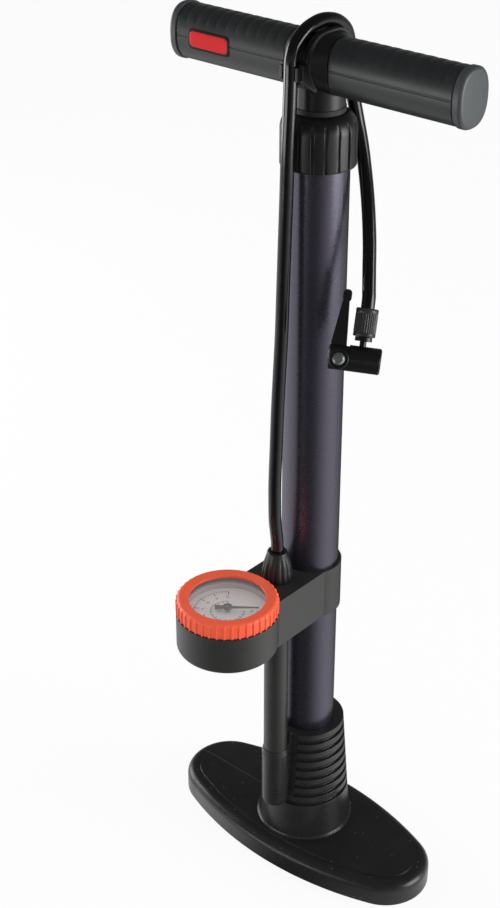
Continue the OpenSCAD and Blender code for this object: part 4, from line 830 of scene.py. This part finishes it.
# %% Floor, world and lamps
floor_mesh = bpy.data.meshes.new("pale_floor")
FLOOR_HALF, FLOOR_Z = 6, -0.0003
floor_corners = [(x * FLOOR_HALF, y * FLOOR_HALF, FLOOR_Z) for x, y in ((-1, -1), (1, -1), (1, 1), (-1, 1))]
floor_mesh.from_pydata(floor_corners, [], [(0, 1, 2, 3)])
pale_floor = bpy.data.objects.new("pale_floor", floor_mesh)
scene.collection.objects.link(pale_floor)
floor_white = bpy.data.materials.new("floor_white")
floor_white.use_nodes = True
floor_tree = floor_white.node_tree
floor_tree.nodes.clear()


def math_node(operation, first, second=0.0):
    """One sum in the floor's tree."""
    return step_node(floor_tree, "Math", {"operation": operation}, i0=first, i1=second).outputs[0]


def bright_side(azimuth, power):
    """How far a place on the floor lies towards an azimuth: the cosine of the angle, to a power."""
    way = (math.cos(math.radians(azimuth)), math.sin(math.radians(azimuth)), 0.0)
    spot = step_node(floor_tree, "TexCoord").outputs["Object"]
    unit = step_node(floor_tree, "VectorMath", {"operation": "NORMALIZE"}, i0=spot).outputs[0]
    toward = step_node(floor_tree, "VectorMath", {"operation": "DOT_PRODUCT"}, i0=unit, i1=way)
    return math_node("POWER", math_node("MAXIMUM", toward.outputs["Value"]), power)


paper = step_node(floor_tree, "BsdfDiffuse", Color=(0.86, 0.86, 0.86, 1))
white = step_node(floor_tree, "Emission", Color=(1, 1, 1, 1), Strength=1.0)
sides = math_node("ADD", bright_side(25, 2.5), bright_side(-155, 2.5))
card = step_node(floor_tree, "Emission", Color=(1, 1, 1, 1), Strength=math_node("ADD", sides, 0.06))
ray = step_node(floor_tree, "LightPath")
mirrored = math_node("MAXIMUM", ray.outputs["Is Glossy Ray"], ray.outputs["Is Transmission Ray"])
seen = math_node("MULTIPLY", ray.outputs["Is Camera Ray"], 0.90)
seen_floor = step_node(floor_tree, "MixShader", i0=seen, i1=paper.outputs[0], i2=white.outputs[0])
whole_floor = step_node(floor_tree, "MixShader", i0=mirrored, i1=seen_floor.outputs[0], i2=card.outputs[0])
under = step_node(floor_tree, "NewGeometry").outputs["Backfacing"]
clear = step_node(floor_tree, "BsdfTransparent")
floor_skin = step_node(floor_tree, "MixShader", i0=under, i1=whole_floor.outputs[0], i2=clear.outputs[0])
step_node(floor_tree, "OutputMaterial", i0=floor_skin.outputs[0])
dress(pale_floor, floor_white)

world = bpy.data.worlds.new("studio")
world.use_nodes = True
scene.world = world
sky_tree = world.node_tree
sky = sky_tree.nodes["Background"]
sky_place = step_node(sky_tree, "TexCoord").outputs["Generated"]
sky_way = step_node(sky_tree, "SeparateXYZ", i0=sky_place).outputs["Z"]
sky_ray = step_node(sky_tree, "LightPath")
sky_mirrored = spread(sky_tree, sky_way, 0.0, 0.40, 0.35, 0.06)
sky_level = step_node(sky_tree, "Mix", i0=sky_ray.outputs["Is Glossy Ray"], i2=0.72,
                      i3=sky_mirrored).outputs[0]
sky_tree.links.new(step_node(sky_tree, "Math", {"operation": "MAXIMUM"}, i0=sky_level,
                             i1=sky_ray.outputs["Is Camera Ray"]).outputs[0], sky.inputs["Strength"])
sky.inputs["Color"].default_value = (1, 1, 1, 1)


def soft_box(name, azimuth, distance, height, size, power, aim=(0, 0, 0.3)):
    """A rectangular lamp at an azimuth, a distance and a height, facing the pump."""
    lamp = bpy.data.lights.new(name, "AREA")
    lamp.shape = "RECTANGLE"
    lamp.size, lamp.size_y, lamp.energy = size[0], size[1], power
    turn = math.radians(azimuth)
    place = Vector((distance * math.cos(turn), distance * math.sin(turn), height))
    made = bpy.data.objects.new(name, lamp)
    made.matrix_world = (Matrix.Translation(place)
                         @ (Vector(aim) - place).to_track_quat("-Z", "Y").to_matrix().to_4x4())
    scene.collection.objects.link(made)
    return made


soft_box("right_box", 20, 1.5, 0.50, (0.9, 0.9), 16)
soft_box("left_box", -170, 1.5, 0.50, (0.9, 0.9), 12)
soft_box("low_front_box", -110, 1.8, 0.12, (1.2, 0.3), 5, aim=(0, 0, 0.57))
print("stage ready")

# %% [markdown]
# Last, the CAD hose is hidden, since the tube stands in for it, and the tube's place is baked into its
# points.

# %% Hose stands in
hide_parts("hose")
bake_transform(hose_tube)
print("hose facts: %.3f m" % hose_length)
